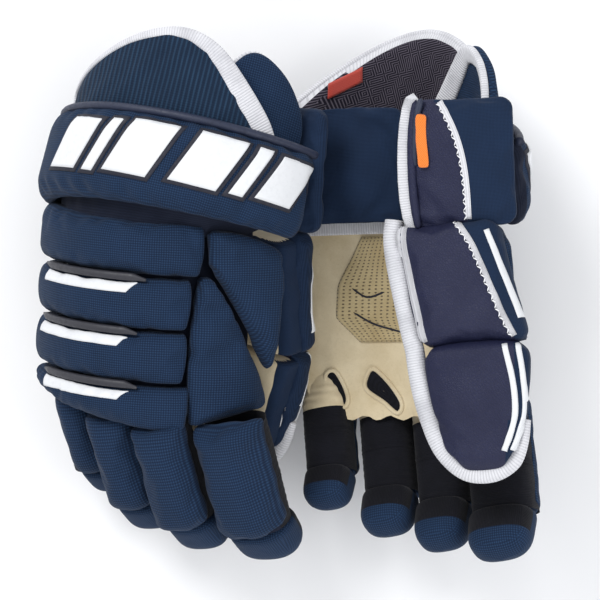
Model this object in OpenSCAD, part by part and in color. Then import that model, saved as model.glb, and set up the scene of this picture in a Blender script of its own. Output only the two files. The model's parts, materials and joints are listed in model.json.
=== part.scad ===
// A pair of padded ice hockey gloves, senior size.
// Each glove is drawn once in a glove frame: X towards the thumb, Y towards the
// cuff, Z out of the back of the hand, with the palm near Z = 0.  The right glove
// lies palm down.  The left glove is its mirror image, palm up, beside it.

/* [Pair] */
// Distance between the two gloves, centre to centre, along X
pair_spacing = 146; // [146:1:220]
// Roll of the left glove towards its little finger side, degrees
left_roll = 24; // [24:1:26]

/* [Hand] */
// Outer radius of the arch over the back of the hand
hand_r = 84; // [82:1:86]
// Thickness of the padded rolls on the back of the hand
roll_t = 22; // [18:1:22]
// Length of one roll along the hand
roll_len = 32; // [28:1:32]
// Dark crease between two rolls
roll_gap = 2.2; // [2:0.2:4]
// Radius of the soft edge of a roll
roll_edge = 8; // [5:0.5:8]

/* [Fingers] */
// Curl of the fingers at the knuckle, degrees
knuckle_curl = 18; // [16:1:20]
// Further curl at the middle joint, degrees
middle_curl = 27; // [24:1:28]
// Lean of the fingers towards the thumb, degrees
finger_lean = 10; // [9:0.5:11]
// Thickness of the finger padding
finger_pad_t = 19; // [16:1:20]
// Crease between two finger pads at a joint
joint_gap = 4.6; // [4.6:0.1:5.4]

/* [Thumb] */
// Width of the thumb
thumb_w = 76; // [72:1:78]
// Roll of the thumb shell about its own length, degrees
thumb_roll = 168; // [166:1:170]
// Curl of the whole thumb, degrees
thumb_curl = 9; // [8:0.5:10]

/* [Cuff] */
// Outer radius of the cuff roll
cuff_r = 98; // [97:1:99]
// Thickness of the cuff roll
cuff_t = 16; // [12:1:17]
// Length of the cuff roll along the arm
cuff_len = 60; // [58:1:62]
// Lean of the cuff back towards the arm, degrees
cuff_lean = 15; // [14:1:16]

/* [Hidden] */
SIDES = ["left", "right"];
FINGERS = ["little", "ring", "middle", "index"];
HAND_PARTS = ["palm", "roll_1", "roll_2", "roll_3", "roll_4", "web_pad",
              "thumb_back_pad", "liner"];
CUFF_PARTS = ["cuff_roll", "cuff_flare", "thumb_side_flare", "cuff_insert",
              "wrist_panel", "thumb_side_cuff", "pull_tab"];
THUMB_PARTS = ["thumb_pad", "thumb_sleeve", "thumb_tip"];
PARTS = concat(HAND_PARTS, CUFF_PARTS, THUMB_PARTS,
               [for (f = FINGERS) for (p = ["_pad", "_sleeve", "_tip"]) str(f, p)]);

// colours
navy = [0.09, 0.17, 0.29];
dark_navy = [0.08, 0.10, 0.17];
slate = [0.20, 0.20, 0.29];
cream = [0.82, 0.75, 0.57];
orange = [0.93, 0.42, 0.09];
lining = [0.22, 0.19, 0.25];
board = [0.15, 0.15, 0.17];

// where each glove lies: shift and turn of the glove frame
left_at = [9.4 + pair_spacing / 2, -3.05, 81.9];
left_turn = [4, -left_roll, 1];
right_at = [9.4 - pair_spacing / 2, -3.05, 85.9];
right_turn = [8, -21, -6];

// back of the hand
hand_x = -25;
hand_z = -18;
thumb_back_r = 98;
thumb_back_z = -32;
pinky_end = -70;
roll_pitch = roll_len + roll_gap;
roll_1_y = 37;
roll_window = [[-120, 80], [60, 80], [60, -60], [-120, -60]];
knuckle_edge = [[-120, 0], [60, 0], [60, -84], [40, -81], [3, -78], [-36, -72.5],
                [-72, -65], [-120, -57]];
roll_ends = [40, 35, 34, 37];
// the pads between the rolls and the thumb are cut square to a plane tilted so
pad_tilt = 18;
cloth = 1.6;

// palm: a shallow arch
palm_r = 180;
palm_crown = 9;
palm_t = 2.4;
patch_t = 1.4;
palm_outline = [[-80, 46], [12, 46], [16, 20], [12, -20], [22, -66],
                [-10, -66], [-50, -61], [-80, -54]];
patch_outline = [[-36, 42], [-6, 42], [4, 10], [2, -24], [-28, -30], [-58, -20],
                 [-54, 8]];

// fingers: name order as in FINGERS
knuckle_s = [-81, -47, -11, 31.5];
knuckle_y = [-63, -72, -77, -80];
knuckle_z = [-2, 11, 12, 2];
finger_w = [29, 34, 37, 45];
finger_h = [40, 45, 47, 45];
finger_l = [44, 50, 52, 52];
tip_l = [27, 31, 33, 33];
tip_h = [31, 34, 35, 35];
drop_outer = [9, 3, 0, 0];
drop_inner = [0, 0, 2, 9];
side_gap = 0.5;

// thumb
thumb_at = [45, 38, -5];
thumb_leans = [5, -8];
thumb_h = 38;
thumb_l = 70;
thumb_tip_l = 78;
thumb_pad_t = 15;
thumb_tip_curl = 2;
thumb_gap = 3;

// cuff
cuff_x = -14;
cuff_z = -24;
cuff_y = 66;
cuff_turn = -6;
cuff_ends = [-74, 76];
flare_t = 9;
flare_grow = 5;
// the roll lies this far towards the arm from the middle of the cuff
cuff_shift = 6;
flare_r = cuff_r - 4;
flare_from = cuff_shift + cuff_len / 2 + 0.2;
flare_outline = [[-99, flare_from], [-96, 56], [-84, 72], [-62, 84], [-36, 90], [-12, 88],
                 [8, 80], [28, 64], [44, 48], [52, flare_from]];
side_flare_outline = [[24, flare_from], [30, 74], [42, 85], [60, 81], [76, 70], [88, 52],
                      [88, flare_from]];
insert_outline = [[-80, flare_from], [-76, 54], [-58, 70], [-34, 77], [-10, 74],
                  [20, flare_from]];
flap_at = [50, 90, -29];
flap_tilt = -14;
flap_size = [62, 78, 13];
tab_at = [-26, 30, -flap_size[2] / 2 - 0.4];
tab_size = [7, 34, 2];
wrist_at = [-36, 88, -9];
wrist_size = [76, 74, 7];

// ---- 2D outlines -------------------------------------------------------

// Corner points of a w by h rectangle with corners rounded at radius r.
function rounded(w, h, r, n = 4) =
    [for (c = [[w - r, h - r, 0], [r, h - r, 90], [r, r, 180], [w - r, r, 270]])
        for (k = [0:n])
            [c[0] + r * cos(c[2] + 90 * k / n), c[1] + r * sin(c[2] + 90 * k / n)]];

// ---- Building blocks ---------------------------------------------------

// A band of padding swept over an arch about the Y axis, from angle a0 to a1,
// measured from the crown towards the thumb.
module arch_pad(r, t, length, a0, a1, edge) {
    rotate([90, 0, 0])
        rotate([0, 0, 90 - a1])
            rotate_extrude(angle = a1 - a0, $fn = 96)
                translate([r - t, -length / 2])
                    polygon(rounded(t, length, edge));
}

// A plate in the Y-Z plane, centred on X.
module side_plate(x, t, points) {
    translate([x - t / 2, 0, 0])
        rotate([90, 0, 90])
            linear_extrude(t)
                polygon(points);
}

// Y of the slanted end of a digit segment at height z.
function end_y(y, z, slant) = y + z * tan(slant);

// Padding over a digit segment: a soft block from height z0 to h.  The joint
// lines at both ends slant, so that the pads fan open about the palm side.
module digit_pad(w, z0, h, length, back, front, gap, drops, w_end, h_end) {
    big = 6;
    small = 2.5;
    for_end = [[w, h], [w_end, h_end]];
    hull()
        for (sx = [0, 1], end = [0, 1]) {
            side = 2 * sx - 1;
            half = for_end[end][0] / 2;
            slant = end == 0 ? back : -front;
            inward = end == 0 ? -1 : 1;
            end_at = end == 0 ? -gap / 2 : -length + gap / 2;
            top = max(for_end[end][1] - drops[sx] - big, z0 + big);
            translate([side * (half - big), end_y(end_at + inward * big, top, slant), top])
                sphere(big, $fn = 20);
            translate([side * (half - small), end_y(end_at + inward * small, z0, slant),
                       z0 + small])
                sphere(small, $fn = 16);
        }
}

// Cloth walls and palm strip that close a digit segment below its padding.
module digit_sleeve(w, h, length, back, front, gap) {
    near = -gap / 2;
    far = -length + gap / 2;
    wall = [[end_y(near, cloth, back), cloth], [end_y(near, h, back), h],
            [end_y(far, h, -front), h], [end_y(far, cloth, -front), cloth]];
    for (side = [-1, 1])
        side_plate(side * (w - cloth) / 2, cloth, wall);
    side_plate(0, w, [[near, 0], [end_y(near, cloth, back), cloth],
                      [end_y(far, cloth, -front), cloth], [far, 0]]);
}

// The closed end of a digit: padding over the top, cloth walls and an end wall.
module digit_tip(w, h, pad_t, length, back, gap, drops, taper) {
    end_w = w * taper;
    under = h - pad_t;
    digit_pad(w, under, h, length + 2, back, -8, gap, drops, end_w, h * 0.86);
    near = -gap / 2;
    for (side = [-1, 1])
        side_plate(side * (end_w - cloth) / 2, cloth,
                   [[end_y(near, cloth, back), cloth], [end_y(near, under, back), under],
                    [end_y(near, under, back) - 4, under + 1], [-length + 4, under + 1],
                    [-length + 4, cloth]]);
    side_plate(0, end_w, [[near, 0], [end_y(near, cloth, back), cloth],
                          [-length + 4, cloth], [-length + 4, 0]]);
    side_plate(0, end_w, [[-length + 4, 0], [-length + 4, under + 1],
                          [-length + 1, under + 1], [-length, under], [-length, 3]]);
}

// ---- Frames of the moving parts ----------------------------------------

function knuckle(i) =
    [(knuckle_s[i] - knuckle_y[i] * sin(finger_lean)) / cos(finger_lean),
     knuckle_y[i], knuckle_z[i]];

module at_finger(i) {
    translate(knuckle(i))
        rotate([knuckle_curl, 0, finger_lean])
            children();
}

module at_fingertip(i) {
    at_finger(i)
        translate([0, -finger_l[i], 0])
            rotate([middle_curl, 0, 0])
                children();
}

// The thumb frame is turned over, so that its padding faces away from the palm.
module at_thumb(side) {
    translate(thumb_at)
        rotate([0, 0, side == "left" ? thumb_leans[0] : thumb_leans[1]])
            rotate([thumb_curl, 0, 0])
                rotate([0, thumb_roll, 0])
                    children();
}

module at_thumb_tip(side) {
    at_thumb(side)
        translate([0, -thumb_l, 0])
            rotate([thumb_tip_curl, 0, 0])
                children();
}

module at_cuff() {
    translate([cuff_x, cuff_y, cuff_z])
        rotate([-cuff_lean, 0, cuff_turn])
            children();
}

module at_flap() {
    translate(flap_at)
        rotate([0, flap_tilt, 0])
            children();
}

module place(side) {
    if (side == "right")
        translate(right_at) rotate(right_turn) children();
    else
        translate(left_at) rotate(left_turn) mirror([0, 0, 1]) children();
}

// ---- Hand --------------------------------------------------------------

// Soft leather palm and the tougher patch sewn under it.
module palm() {
    color(cream)
        for (layer = [[palm_outline, 0, palm_t], [patch_outline, palm_t, patch_t]])
            intersection() {
                translate([hand_x, 0, palm_crown - palm_r])
                    arch_pad(palm_r + palm_t - layer[1], layer[2], 140, -26, 26, 0.2);
                translate([0, 0, -40])
                    linear_extrude(80)
                        polygon(layer[0]);
            }
}

// One roll of padding across the back of the hand, numbered from the cuff.  The
// last one is longer, and its front edge follows the knuckles.
module roll(number) {
    last = number == 4;
    at_y = roll_1_y - (number - 1) * roll_pitch;
    color(navy)
        intersection() {
            translate([hand_x, last ? at_y - 8 : at_y, hand_z])
                arch_pad(hand_r, roll_t, last ? roll_len + 16 : roll_len, pinky_end,
                         roll_ends[number - 1], roll_edge);
            translate([0, 0, -30])
                linear_extrude(120)
                    polygon(last ? knuckle_edge : roll_window);
        }
}

// A prism with the given outline, square to the tilted plane of the pads.
module tilted_prism(outline) {
    rotate([0, pad_tilt, 0])
        translate([0, 0, -70])
            linear_extrude(200)
                polygon(outline);
}

// Wedge of padding between the rolls, the thumb and the index finger.
module web_pad() {
    color(navy)
        intersection() {
            translate([hand_x, -28, hand_z])
                arch_pad(hand_r + 1, roll_t - 2, 104, 30, 82, roll_edge);
            tilted_prism([[15.5, 20.5], [19.5, 20.5], [56, -40], [60, -48], [57, -67], [14, -76],
                          [11.4, -72], [11.4, -49.5], [8.6, -46], [8.6, 12]]);
        }
}

// Padding over the root of the thumb.
module thumb_back_pad() {
    color(navy)
        intersection() {
            translate([hand_x, 4, thumb_back_z])
                arch_pad(thumb_back_r, roll_t - 5, 120, 22, 68, roll_edge);
            tilted_prism([[16.5, 51], [42, 47], [66, 34], [66, -42], [60.5, -40.8], [20, 26.5],
                          [16.5, 32]]);
        }
}

// Patterned lining inside the back of the hand.
module liner() {
    color(lining)
        translate([hand_x, -6, hand_z])
            arch_pad(hand_r - roll_t - 0.5, 1.2, 104, pinky_end - 2, 58, 0.3);
}

// ---- Cuff --------------------------------------------------------------

// The big padded band round the wrist.
module cuff_roll() {
    color(navy)
        at_cuff()
            translate([0, cuff_shift, 0])
                arch_pad(cuff_r, cuff_t, cuff_len, cuff_ends[0], cuff_ends[1], 7);
}

// A cone shell above the cuff roll that opens towards the arm, cut to an outline.
module flare_shell(r, t, a0, a1, outline) {
    long = 102;
    intersection() {
        rotate([90, 0, 0])
            rotate([0, 0, 90 - a1])
                rotate_extrude(angle = a1 - a0, $fn = 96)
                    polygon([[r - t, -long], [r - t - flare_grow, -flare_from],
                             [r - flare_grow, -flare_from], [r, -long]]);
        tilted_prism(outline);
    }
}

// Flared guard above the cuff roll.
module cuff_flare() {
    color(navy)
        at_cuff()
            flare_shell(flare_r, flare_t, -76, 60, flare_outline);
}

// Taller guard behind it, on the side of the thumb.
module thumb_side_flare() {
    color(navy)
        at_cuff()
            flare_shell(flare_r - flare_t - 1, flare_t, 34, 70, side_flare_outline);
}

// Stiff board that holds the flare open, behind its padding.
module cuff_insert() {
    color(board)
        at_cuff()
            flare_shell(flare_r - flare_t - 0.5, 1.2, -58, 30, insert_outline);
}

// Cloth panel on the palm side of the wrist.
module wrist_panel() {
    color(dark_navy)
        translate(wrist_at - wrist_size / 2)
            linear_extrude(wrist_size[2])
                polygon(rounded(wrist_size[0], wrist_size[1], 5));
}

// Padded flap of the cuff on the thumb side.
module thumb_side_cuff() {
    color(slate)
        at_flap()
            translate(-flap_size / 2)
                linear_extrude(flap_size[2])
                    polygon(rounded(flap_size[0], flap_size[1], 9));
}

// Small webbing tab that hangs from the flap.
module pull_tab() {
    color(orange)
        at_flap()
            translate(tab_at - [tab_size[0] / 2, tab_size[1], tab_size[2]])
                linear_extrude(tab_size[2])
                    polygon(rounded(tab_size[0], tab_size[1], 2));
}

// ---- Thumb -------------------------------------------------------------

module thumb_pad(side) {
    color(slate)
        at_thumb(side)
            digit_pad(thumb_w, thumb_h - thumb_pad_t, thumb_h, thumb_l, 0,
                      thumb_tip_curl / 2, thumb_gap, [3, 3], thumb_w - 6,
                      thumb_h - 2);
}

module thumb_sleeve(side) {
    color(cream)
        at_thumb(side)
            digit_sleeve(thumb_w - 8, thumb_h - thumb_pad_t, thumb_l, 0,
                         thumb_tip_curl / 2, thumb_gap);
}

module thumb_tip(side) {
    color(slate)
        at_thumb_tip(side)
            digit_tip(thumb_w - 6, thumb_h - 2, thumb_pad_t, thumb_tip_l,
                      thumb_tip_curl / 2, thumb_gap, [3, 3], 0.66);
}

// ---- Fingers -----------------------------------------------------------

function clear_w(i) = finger_w[i] - side_gap;

module finger_pad(i) {
    color(navy)
        at_finger(i)
            digit_pad(clear_w(i), finger_h[i] - finger_pad_t, finger_h[i], finger_l[i],
                      knuckle_curl / 2, middle_curl / 2, joint_gap,
                      [drop_outer[i], drop_inner[i]], clear_w(i), finger_h[i] - 3);
}

module finger_sleeve(i) {
    color(dark_navy)
        at_finger(i)
            digit_sleeve(clear_w(i), finger_h[i] - finger_pad_t, finger_l[i],
                         knuckle_curl / 2, middle_curl / 2, joint_gap);
}

module fingertip(i) {
    color(navy)
        at_fingertip(i)
            digit_tip(clear_w(i), tip_h[i], finger_pad_t - 5, tip_l[i],
                      middle_curl / 2, joint_gap, [drop_outer[i] / 2, drop_inner[i] / 2],
                      0.86);
}

// ---- One node at a time ------------------------------------------------

module draw(side, part) {
    place(side)
            children();
}

for (side = SIDES) {
    draw(side, "palm") palm();
    for (number = [1:4])
        draw(side, str("roll_", number)) roll(number);
    draw(side, "web_pad") web_pad();
    draw(side, "thumb_back_pad") thumb_back_pad();
    draw(side, "liner") liner();
    draw(side, "wrist_panel") wrist_panel();
    draw(side, "cuff_roll") cuff_roll();
    draw(side, "cuff_flare") cuff_flare();
    draw(side, "thumb_side_flare") thumb_side_flare();
    draw(side, "cuff_insert") cuff_insert();
    draw(side, "thumb_side_cuff") thumb_side_cuff();
    draw(side, "pull_tab") pull_tab();
    draw(side, "thumb_pad") thumb_pad(side);
    draw(side, "thumb_sleeve") thumb_sleeve(side);
    draw(side, "thumb_tip") thumb_tip(side);
    for (i = [0:3]) {
        draw(side, str(FINGERS[i], "_pad")) finger_pad(i);
        draw(side, str(FINGERS[i], "_sleeve")) finger_sleeve(i);
        draw(side, str(FINGERS[i], "_tip")) fingertip(i);
    }
}
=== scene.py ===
"""A pair of padded ice hockey gloves as shown for sale: the right one palm down, the left one palm up.

Every mesh is drawn once, in millimetres, in the frame of the right glove: X towards the thumb, Y towards
the cuff, Z out of the back of the hand. place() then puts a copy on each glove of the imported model. The
left glove is the mirror image in Z.
"""

import json
import math

import bmesh
import bpy
import numpy as np
from mathutils import Matrix, Vector
from mathutils.bvhtree import BVHTree


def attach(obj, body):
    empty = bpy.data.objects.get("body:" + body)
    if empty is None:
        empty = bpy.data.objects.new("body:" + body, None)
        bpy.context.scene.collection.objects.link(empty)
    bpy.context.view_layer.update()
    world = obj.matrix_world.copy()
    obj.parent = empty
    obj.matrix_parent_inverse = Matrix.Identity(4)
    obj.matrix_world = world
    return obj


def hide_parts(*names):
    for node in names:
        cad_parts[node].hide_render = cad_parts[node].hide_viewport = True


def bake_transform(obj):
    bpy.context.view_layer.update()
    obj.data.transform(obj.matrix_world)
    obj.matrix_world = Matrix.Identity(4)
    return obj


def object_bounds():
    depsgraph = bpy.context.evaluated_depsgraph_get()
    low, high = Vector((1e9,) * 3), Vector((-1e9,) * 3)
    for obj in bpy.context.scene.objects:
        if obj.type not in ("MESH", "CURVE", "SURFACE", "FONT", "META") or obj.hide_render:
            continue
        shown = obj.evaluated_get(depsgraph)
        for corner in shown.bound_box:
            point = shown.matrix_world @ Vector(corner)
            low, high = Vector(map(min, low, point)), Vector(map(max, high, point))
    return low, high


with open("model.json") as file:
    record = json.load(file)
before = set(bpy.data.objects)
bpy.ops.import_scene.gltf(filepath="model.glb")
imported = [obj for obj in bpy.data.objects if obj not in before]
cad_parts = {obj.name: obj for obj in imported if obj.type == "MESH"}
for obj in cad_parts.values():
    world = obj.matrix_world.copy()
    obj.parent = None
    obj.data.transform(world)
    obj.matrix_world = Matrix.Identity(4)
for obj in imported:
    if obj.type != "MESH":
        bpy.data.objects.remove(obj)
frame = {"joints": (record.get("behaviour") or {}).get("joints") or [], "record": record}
CAD_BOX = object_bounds()
RECORD = frame["record"]
JOINTS = {j["name"]: j for j in frame["joints"]}
SIDES = ("right", "left")
FINGERS = ("little", "ring", "middle", "index")
MM = 0.001

# ---- Sizes in mm, as in the CAD model ------------------------------------

HINGE = np.array((-20.0, 50.0, -12.0))
HAND_C = (-25.0, -18.0)
HAND_R, ROLL_T = 84.0, 22.0
ROLL_LEN, ROLL_PITCH, ROLL_1_Y = 32.0, 34.2, 37.0
LITTLE_SIDE = -70.0
ROLL_ENDS = (40.0, 35.0, 34.0, 37.0)
THUMB_BACK_C, THUMB_BACK_R = (-25.0, -32.0), 98.0
PAD_TILT = 18.0
CUFF_AT, CUFF_TURN = (-14.0, 66.0, -24.0), (-15.0, 0.0, -6.0)
CUFF_R, CUFF_T, CUFF_LEN, CUFF_SHIFT, CUFF_ENDS = 98.0, 16.0, 60.0, 6.0, (-74.0, 76.0)
FLARE_T, FLARE_GROW, FLARE_LONG = 9.0, 5.0, 102.0
FLARE_FROM = CUFF_SHIFT + CUFF_LEN / 2 + 0.2
FLAP_AT, FLAP_TILT, FLAP_SIZE = (50.0, 90.0, -29.0), -14.0, (62.0, 78.0, 13.0)
TAB_AT, TAB_SIZE = (-26.0, 30.0, -6.9), (7.0, 34.0, 2.0)
WRIST_AT, WRIST_SIZE = (-36.0, 88.0, -9.0), (76.0, 74.0, 7.0)
PALM_R, PALM_CROWN = 180.0, 9.0
FINGER_W, FINGER_H = (29.0, 34.0, 37.0, 45.0), (40.0, 45.0, 47.0, 45.0)
TIP_L, TIP_H = (27.0, 31.0, 33.0, 33.0), (31.0, 34.0, 35.0, 35.0)
DROP_OUT, DROP_IN = (9.0, 3.0, 0.0, 0.0), (0.0, 0.0, 2.0, 9.0)
KNUCKLE_CURL, MIDDLE_CURL, JOINT_GAP = 18.0, 27.0, 4.6
SIDE_GAP = 0.5
THUMB_W, THUMB_H, THUMB_L, THUMB_TIP_L = 76.0, 38.0, 70.0, 78.0
THUMB_GAP, THUMB_TIP_CURL = 3.0, 2.0
# lengths of the sheets of cloth and leather, along the hand
LINER_LONG, LINING_LONG, GUSSET_LONG, PALM_LONG = 108, 47, 14, 113


# ---- Small mathematics ---------------------------------------------------


def turn(axis, degrees):
    """4x4 turn about X, Y or Z."""
    return np.array(Matrix.Rotation(math.radians(degrees), 4, axis))


def shift(v):
    return np.array(Matrix.Translation(Vector(v)))


def moved(m, points):
    """Points taken through a 4x4."""
    points = np.asarray(points, float)
    return points @ m[:3, :3].T + m[:3, 3]


def unit(v):
    v = np.asarray(v, float)
    return v / np.maximum(np.linalg.norm(v, axis=-1, keepdims=True), 1e-9)


def curve(points, n, closed=False):
    """n points spaced evenly along a smooth curve through the given ones."""
    p = np.asarray(points, float)
    if closed:
        q = np.vstack([p[-1:], p, p[:2]])
    else:
        q = np.vstack([2 * p[0] - p[1], p, 2 * p[-1] - p[-2]])
    out = []
    for i in range(1, len(q) - 2):
        for t in np.linspace(0, 1, 12, endpoint=False):
            a, b, c, d = q[i - 1 : i + 3]
            bend, twist = 2 * a - 5 * b + 4 * c - d, 3 * b - a - 3 * c + d
            out.append(0.5 * (2 * b + (c - a) * t + bend * t**2 + twist * t**3))
    out.append(p[0] if closed else p[-1])
    return resample(np.array(out), n)


def distances(line):
    """How far along the line each of its points is."""
    return np.r_[0, np.cumsum(np.linalg.norm(np.diff(line, axis=0), axis=1))]


def resample(line, n):
    """n points spaced evenly along a line."""
    step = distances(line)
    at = np.linspace(0, step[-1], n)
    return np.column_stack([np.interp(at, step, line[:, k]) for k in range(line.shape[1])])


def xyz(x, y, z):
    """Points from their three coordinates, each a number or an array."""
    return np.stack(np.broadcast_arrays(x, y, z), -1)


def square_to(line):
    """Unit vectors square to a flat line, on its left."""
    ahead = unit(np.gradient(line, axis=0))
    return np.column_stack([-ahead[:, 1], ahead[:, 0]])


def side_facing(line, point):
    """Unit vectors square to a flat line, on the side of it where the point is."""
    square = square_to(line)
    return square * np.sign((square * (point - line)).sum(1))[:, None]


def round_ends(n, first, last, steps, least):
    """Sizes along a line of n points that narrows towards its ends, over that many steps."""
    from_end = np.minimum(np.arange(n) + first, n + last - np.arange(n))
    return np.clip(from_end / steps, least, 1)


def soft_edge(distance, radius, power=2.2):
    """Height of a padded edge, from 0 at the seam to 1 at radius from it."""
    d = np.clip(distance / radius, 0, 1)
    return np.maximum(1 - (1 - d) ** power, 0) ** (1 / power)


def spread(n):
    """n + 1 numbers from 0 to 1, closer together near the ends."""
    t = np.linspace(0, 1, n + 1)
    return 0.45 * t + 0.55 * (1 - np.cos(math.pi * t)) / 2


def ripple(a, b, seed):
    """Smooth irregular waves, from about -1 to 1, over two coordinates in mm."""
    rng = np.random.RandomState(seed)
    total = np.zeros(np.broadcast(a, b).shape)
    for _ in range(5):
        angle, wave, phase = rng.uniform(0, math.pi), rng.uniform(11, 34), rng.uniform(0, 6.3)
        total = total + np.sin((a * math.cos(angle) + b * math.sin(angle)) * 2 * math.pi / wave + phase)
    return total / 3


def arch(centre, radius, degrees, y):
    """Point on an arch about the Y axis. The angle is from the crown towards the thumb."""
    a = np.radians(degrees)
    return xyz(centre[0] + radius * np.sin(a), y, centre[1] + radius * np.cos(a))


def outward(degrees):
    """Unit vectors out of an arch at those angles."""
    return arch((0, 0), 1, degrees, 0)


def tilted_angle(centre, radius, across):
    """Angle on an arch of a point that lies at across on the tilted plane of the thumb side pads."""
    t = math.radians(PAD_TILT)
    offset = centre[0] * math.cos(t) - centre[1] * math.sin(t)
    return PAD_TILT + np.degrees(np.arcsin(np.clip((across - offset) / radius, -1, 1)))


# ---- Where things are ----------------------------------------------------


def glove_frame(side):
    """4x4 from the right glove's frame in mm to the model's, from the wrist hinge and the mount."""
    wrist = JOINTS[f"{side}_wrist_bend"]
    mount = next(m for m in RECORD["mounts"] if m["name"] == f"{side}_hand_opening")
    x = np.array(wrist["axis"]) * (1 if side == "left" else -1)
    y = np.array(mount["axis"])
    y = unit(y - x * (x @ y))
    z = np.cross(x, y) * (-1 if side == "left" else 1)
    m = np.eye(4)
    m[:3, :3] = np.column_stack([x, y, z])
    m[:3, 3] = np.array(wrist["pos_m"]) / MM - m[:3, :3] @ HINGE
    return m


GLOVE = {side: glove_frame(side) for side in SIDES}


def digit_frame(side, base, middle):
    """Frame of a digit in the glove's frame, and the distance to its middle joint."""
    back = np.linalg.inv(GLOVE[side])
    a, b = (moved(back, np.array(JOINTS[f"{side}_{n}"]["pos_m"]) / MM) for n in (base, middle))
    x = back[:3, :3] @ np.array(JOINTS[f"{side}_{base}"]["axis"]) * (-1 if side == "left" else 1)
    y = unit(a - b)
    m = np.eye(4)
    m[:3, :3] = np.column_stack([x, y, np.cross(x, y)])
    m[:3, 3] = a
    return m, float(np.linalg.norm(a - b))


FINGER, FINGER_L, TIP = [], [], []
for i, name in enumerate(FINGERS):
    base, reach = digit_frame("right", f"{name}_knuckle", f"{name}_joint")
    FINGER.append(base)
    FINGER_L.append(reach)
    TIP.append(base @ shift((0, -reach, 0)) @ turn("X", MIDDLE_CURL))
THUMB = {s: digit_frame(s, "thumb_base", "thumb_joint")[0] for s in SIDES}
THUMB_END = {s: THUMB[s] @ shift((0, -THUMB_L, 0)) @ turn("X", THUMB_TIP_CURL) for s in SIDES}
CUFF = shift(CUFF_AT) @ turn("Z", CUFF_TURN[2]) @ turn("X", CUFF_TURN[0])
FLAP = shift(FLAP_AT) @ turn("Y", FLAP_TILT)
SAME = np.eye(4)
UP, DOWN = (0, 0, 1.0), (0, 0, -1.0)


# ---- Materials -----------------------------------------------------------


class Nodes:
    """Short calls to build a material's node tree."""

    def __init__(self, name, colour, roughness, **sockets):
        self.material = bpy.data.materials.new(name)
        self.material.use_nodes = True
        self.tree = self.material.node_tree
        self.shader = self.tree.nodes["Principled BSDF"]
        self.shader.inputs["Base Color"].default_value = (*colour, 1)
        self.shader.inputs["Roughness"].default_value = roughness
        for key, value in sockets.items():
            self.shader.inputs[key.replace("_", " ")].default_value = value
        self.height = None

    def node(self, kind, **settings):
        made = self.tree.nodes.new("ShaderNode" + kind)
        for key, value in settings.items():
            setattr(made, key, value)
        return made

    def link(self, source, target):
        self.tree.links.new(source, target)

    def cloth(self, scale=1.0, rotate=0.0):
        """Cloth coordinates in mm, divided by scale."""
        uv = self.node("UVMap", uv_map="Weave")
        mapping = self.node("Mapping")
        mapping.inputs["Scale"].default_value = (1 / scale, 1 / scale, 1)
        mapping.inputs["Rotation"].default_value = (0, 0, math.radians(rotate))
        self.link(uv.outputs["UV"], mapping.inputs["Vector"])
        return mapping.outputs["Vector"]

    def solid(self):
        """Object coordinates in mm."""
        mapping = self.node("Mapping")
        mapping.inputs["Scale"].default_value = (1 / MM,) * 3
        self.link(self.node("TexCoord").outputs["Object"], mapping.inputs["Vector"])
        return mapping.outputs["Vector"]

    def math(self, operation, *values):
        made = self.node("Math", operation=operation)
        for socket, value in zip(made.inputs, values):
            if isinstance(value, (int, float)):
                socket.default_value = value
            else:
                self.link(value, socket)
        return made.outputs[0]

    def sine(self, vector, axis):
        """Sine along one axis, one period per unit."""
        parts = self.node("SeparateXYZ")
        self.link(vector, parts.inputs[0])
        return self.math("SINE", self.math("MULTIPLY", parts.outputs[axis], 2 * math.pi))

    def half(self, value):
        """A value from -1 to 1 brought to 0 to 1."""
        return self.math("MULTIPLY_ADD", value, 0.5, 0.5)

    def ribs(self, vector, axis):
        return self.half(self.sine(vector, axis))

    def crossing(self, vector):
        """Two sines multiplied: a chequered weave, from -1 to 1."""
        return self.math("MULTIPLY", self.sine(vector, 0), self.sine(vector, 1))

    def noise(self, vector, scale, detail, roughness=0.55):
        made = self.node("TexNoise")
        made.inputs["Scale"].default_value = scale
        made.inputs["Detail"].default_value = detail
        made.inputs["Roughness"].default_value = roughness
        self.link(vector, made.inputs["Vector"])
        return made.outputs["Fac"]

    def mix(self, factor, a, b):
        """Colour between a and b."""
        made = self.node("Mix", data_type="RGBA")
        self.link(factor, made.inputs["Factor"])
        for socket, value in ((made.inputs["A"], a), (made.inputs["B"], b)):
            if isinstance(value, tuple):
                socket.default_value = (*value, 1)
            else:
                self.link(value, socket)
        return made.outputs["Result"]

    def ramp(self, factor, low, high, to_low=0.0, to_high=1.0):
        made = self.node("MapRange", clamp=True)
        values = {"From Min": low, "From Max": high, "To Min": to_low, "To Max": to_high}
        for key, value in values.items():
            made.inputs[key].default_value = value
        self.link(factor, made.inputs["Value"])
        return made.outputs["Result"]

    def paint(self, colour):
        self.link(colour, self.shader.inputs["Base Color"])

    def rough(self, value):
        self.link(value, self.shader.inputs["Roughness"])

    def bump(self, height, distance, strength=1.0):
        """Adds a bump of that height in mm."""
        made = self.node("Bump")
        made.inputs["Strength"].default_value = strength
        made.inputs["Distance"].default_value = distance * MM
        self.link(height, made.inputs["Height"])
        if self.height:
            self.link(self.height, made.inputs["Normal"])
        self.height = made.outputs["Normal"]
        self.link(self.height, self.shader.inputs["Normal"])


def scaled(colour, k):
    """The colour made k times as bright."""
    return tuple(min(1.0, c * k) for c in colour)


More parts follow.
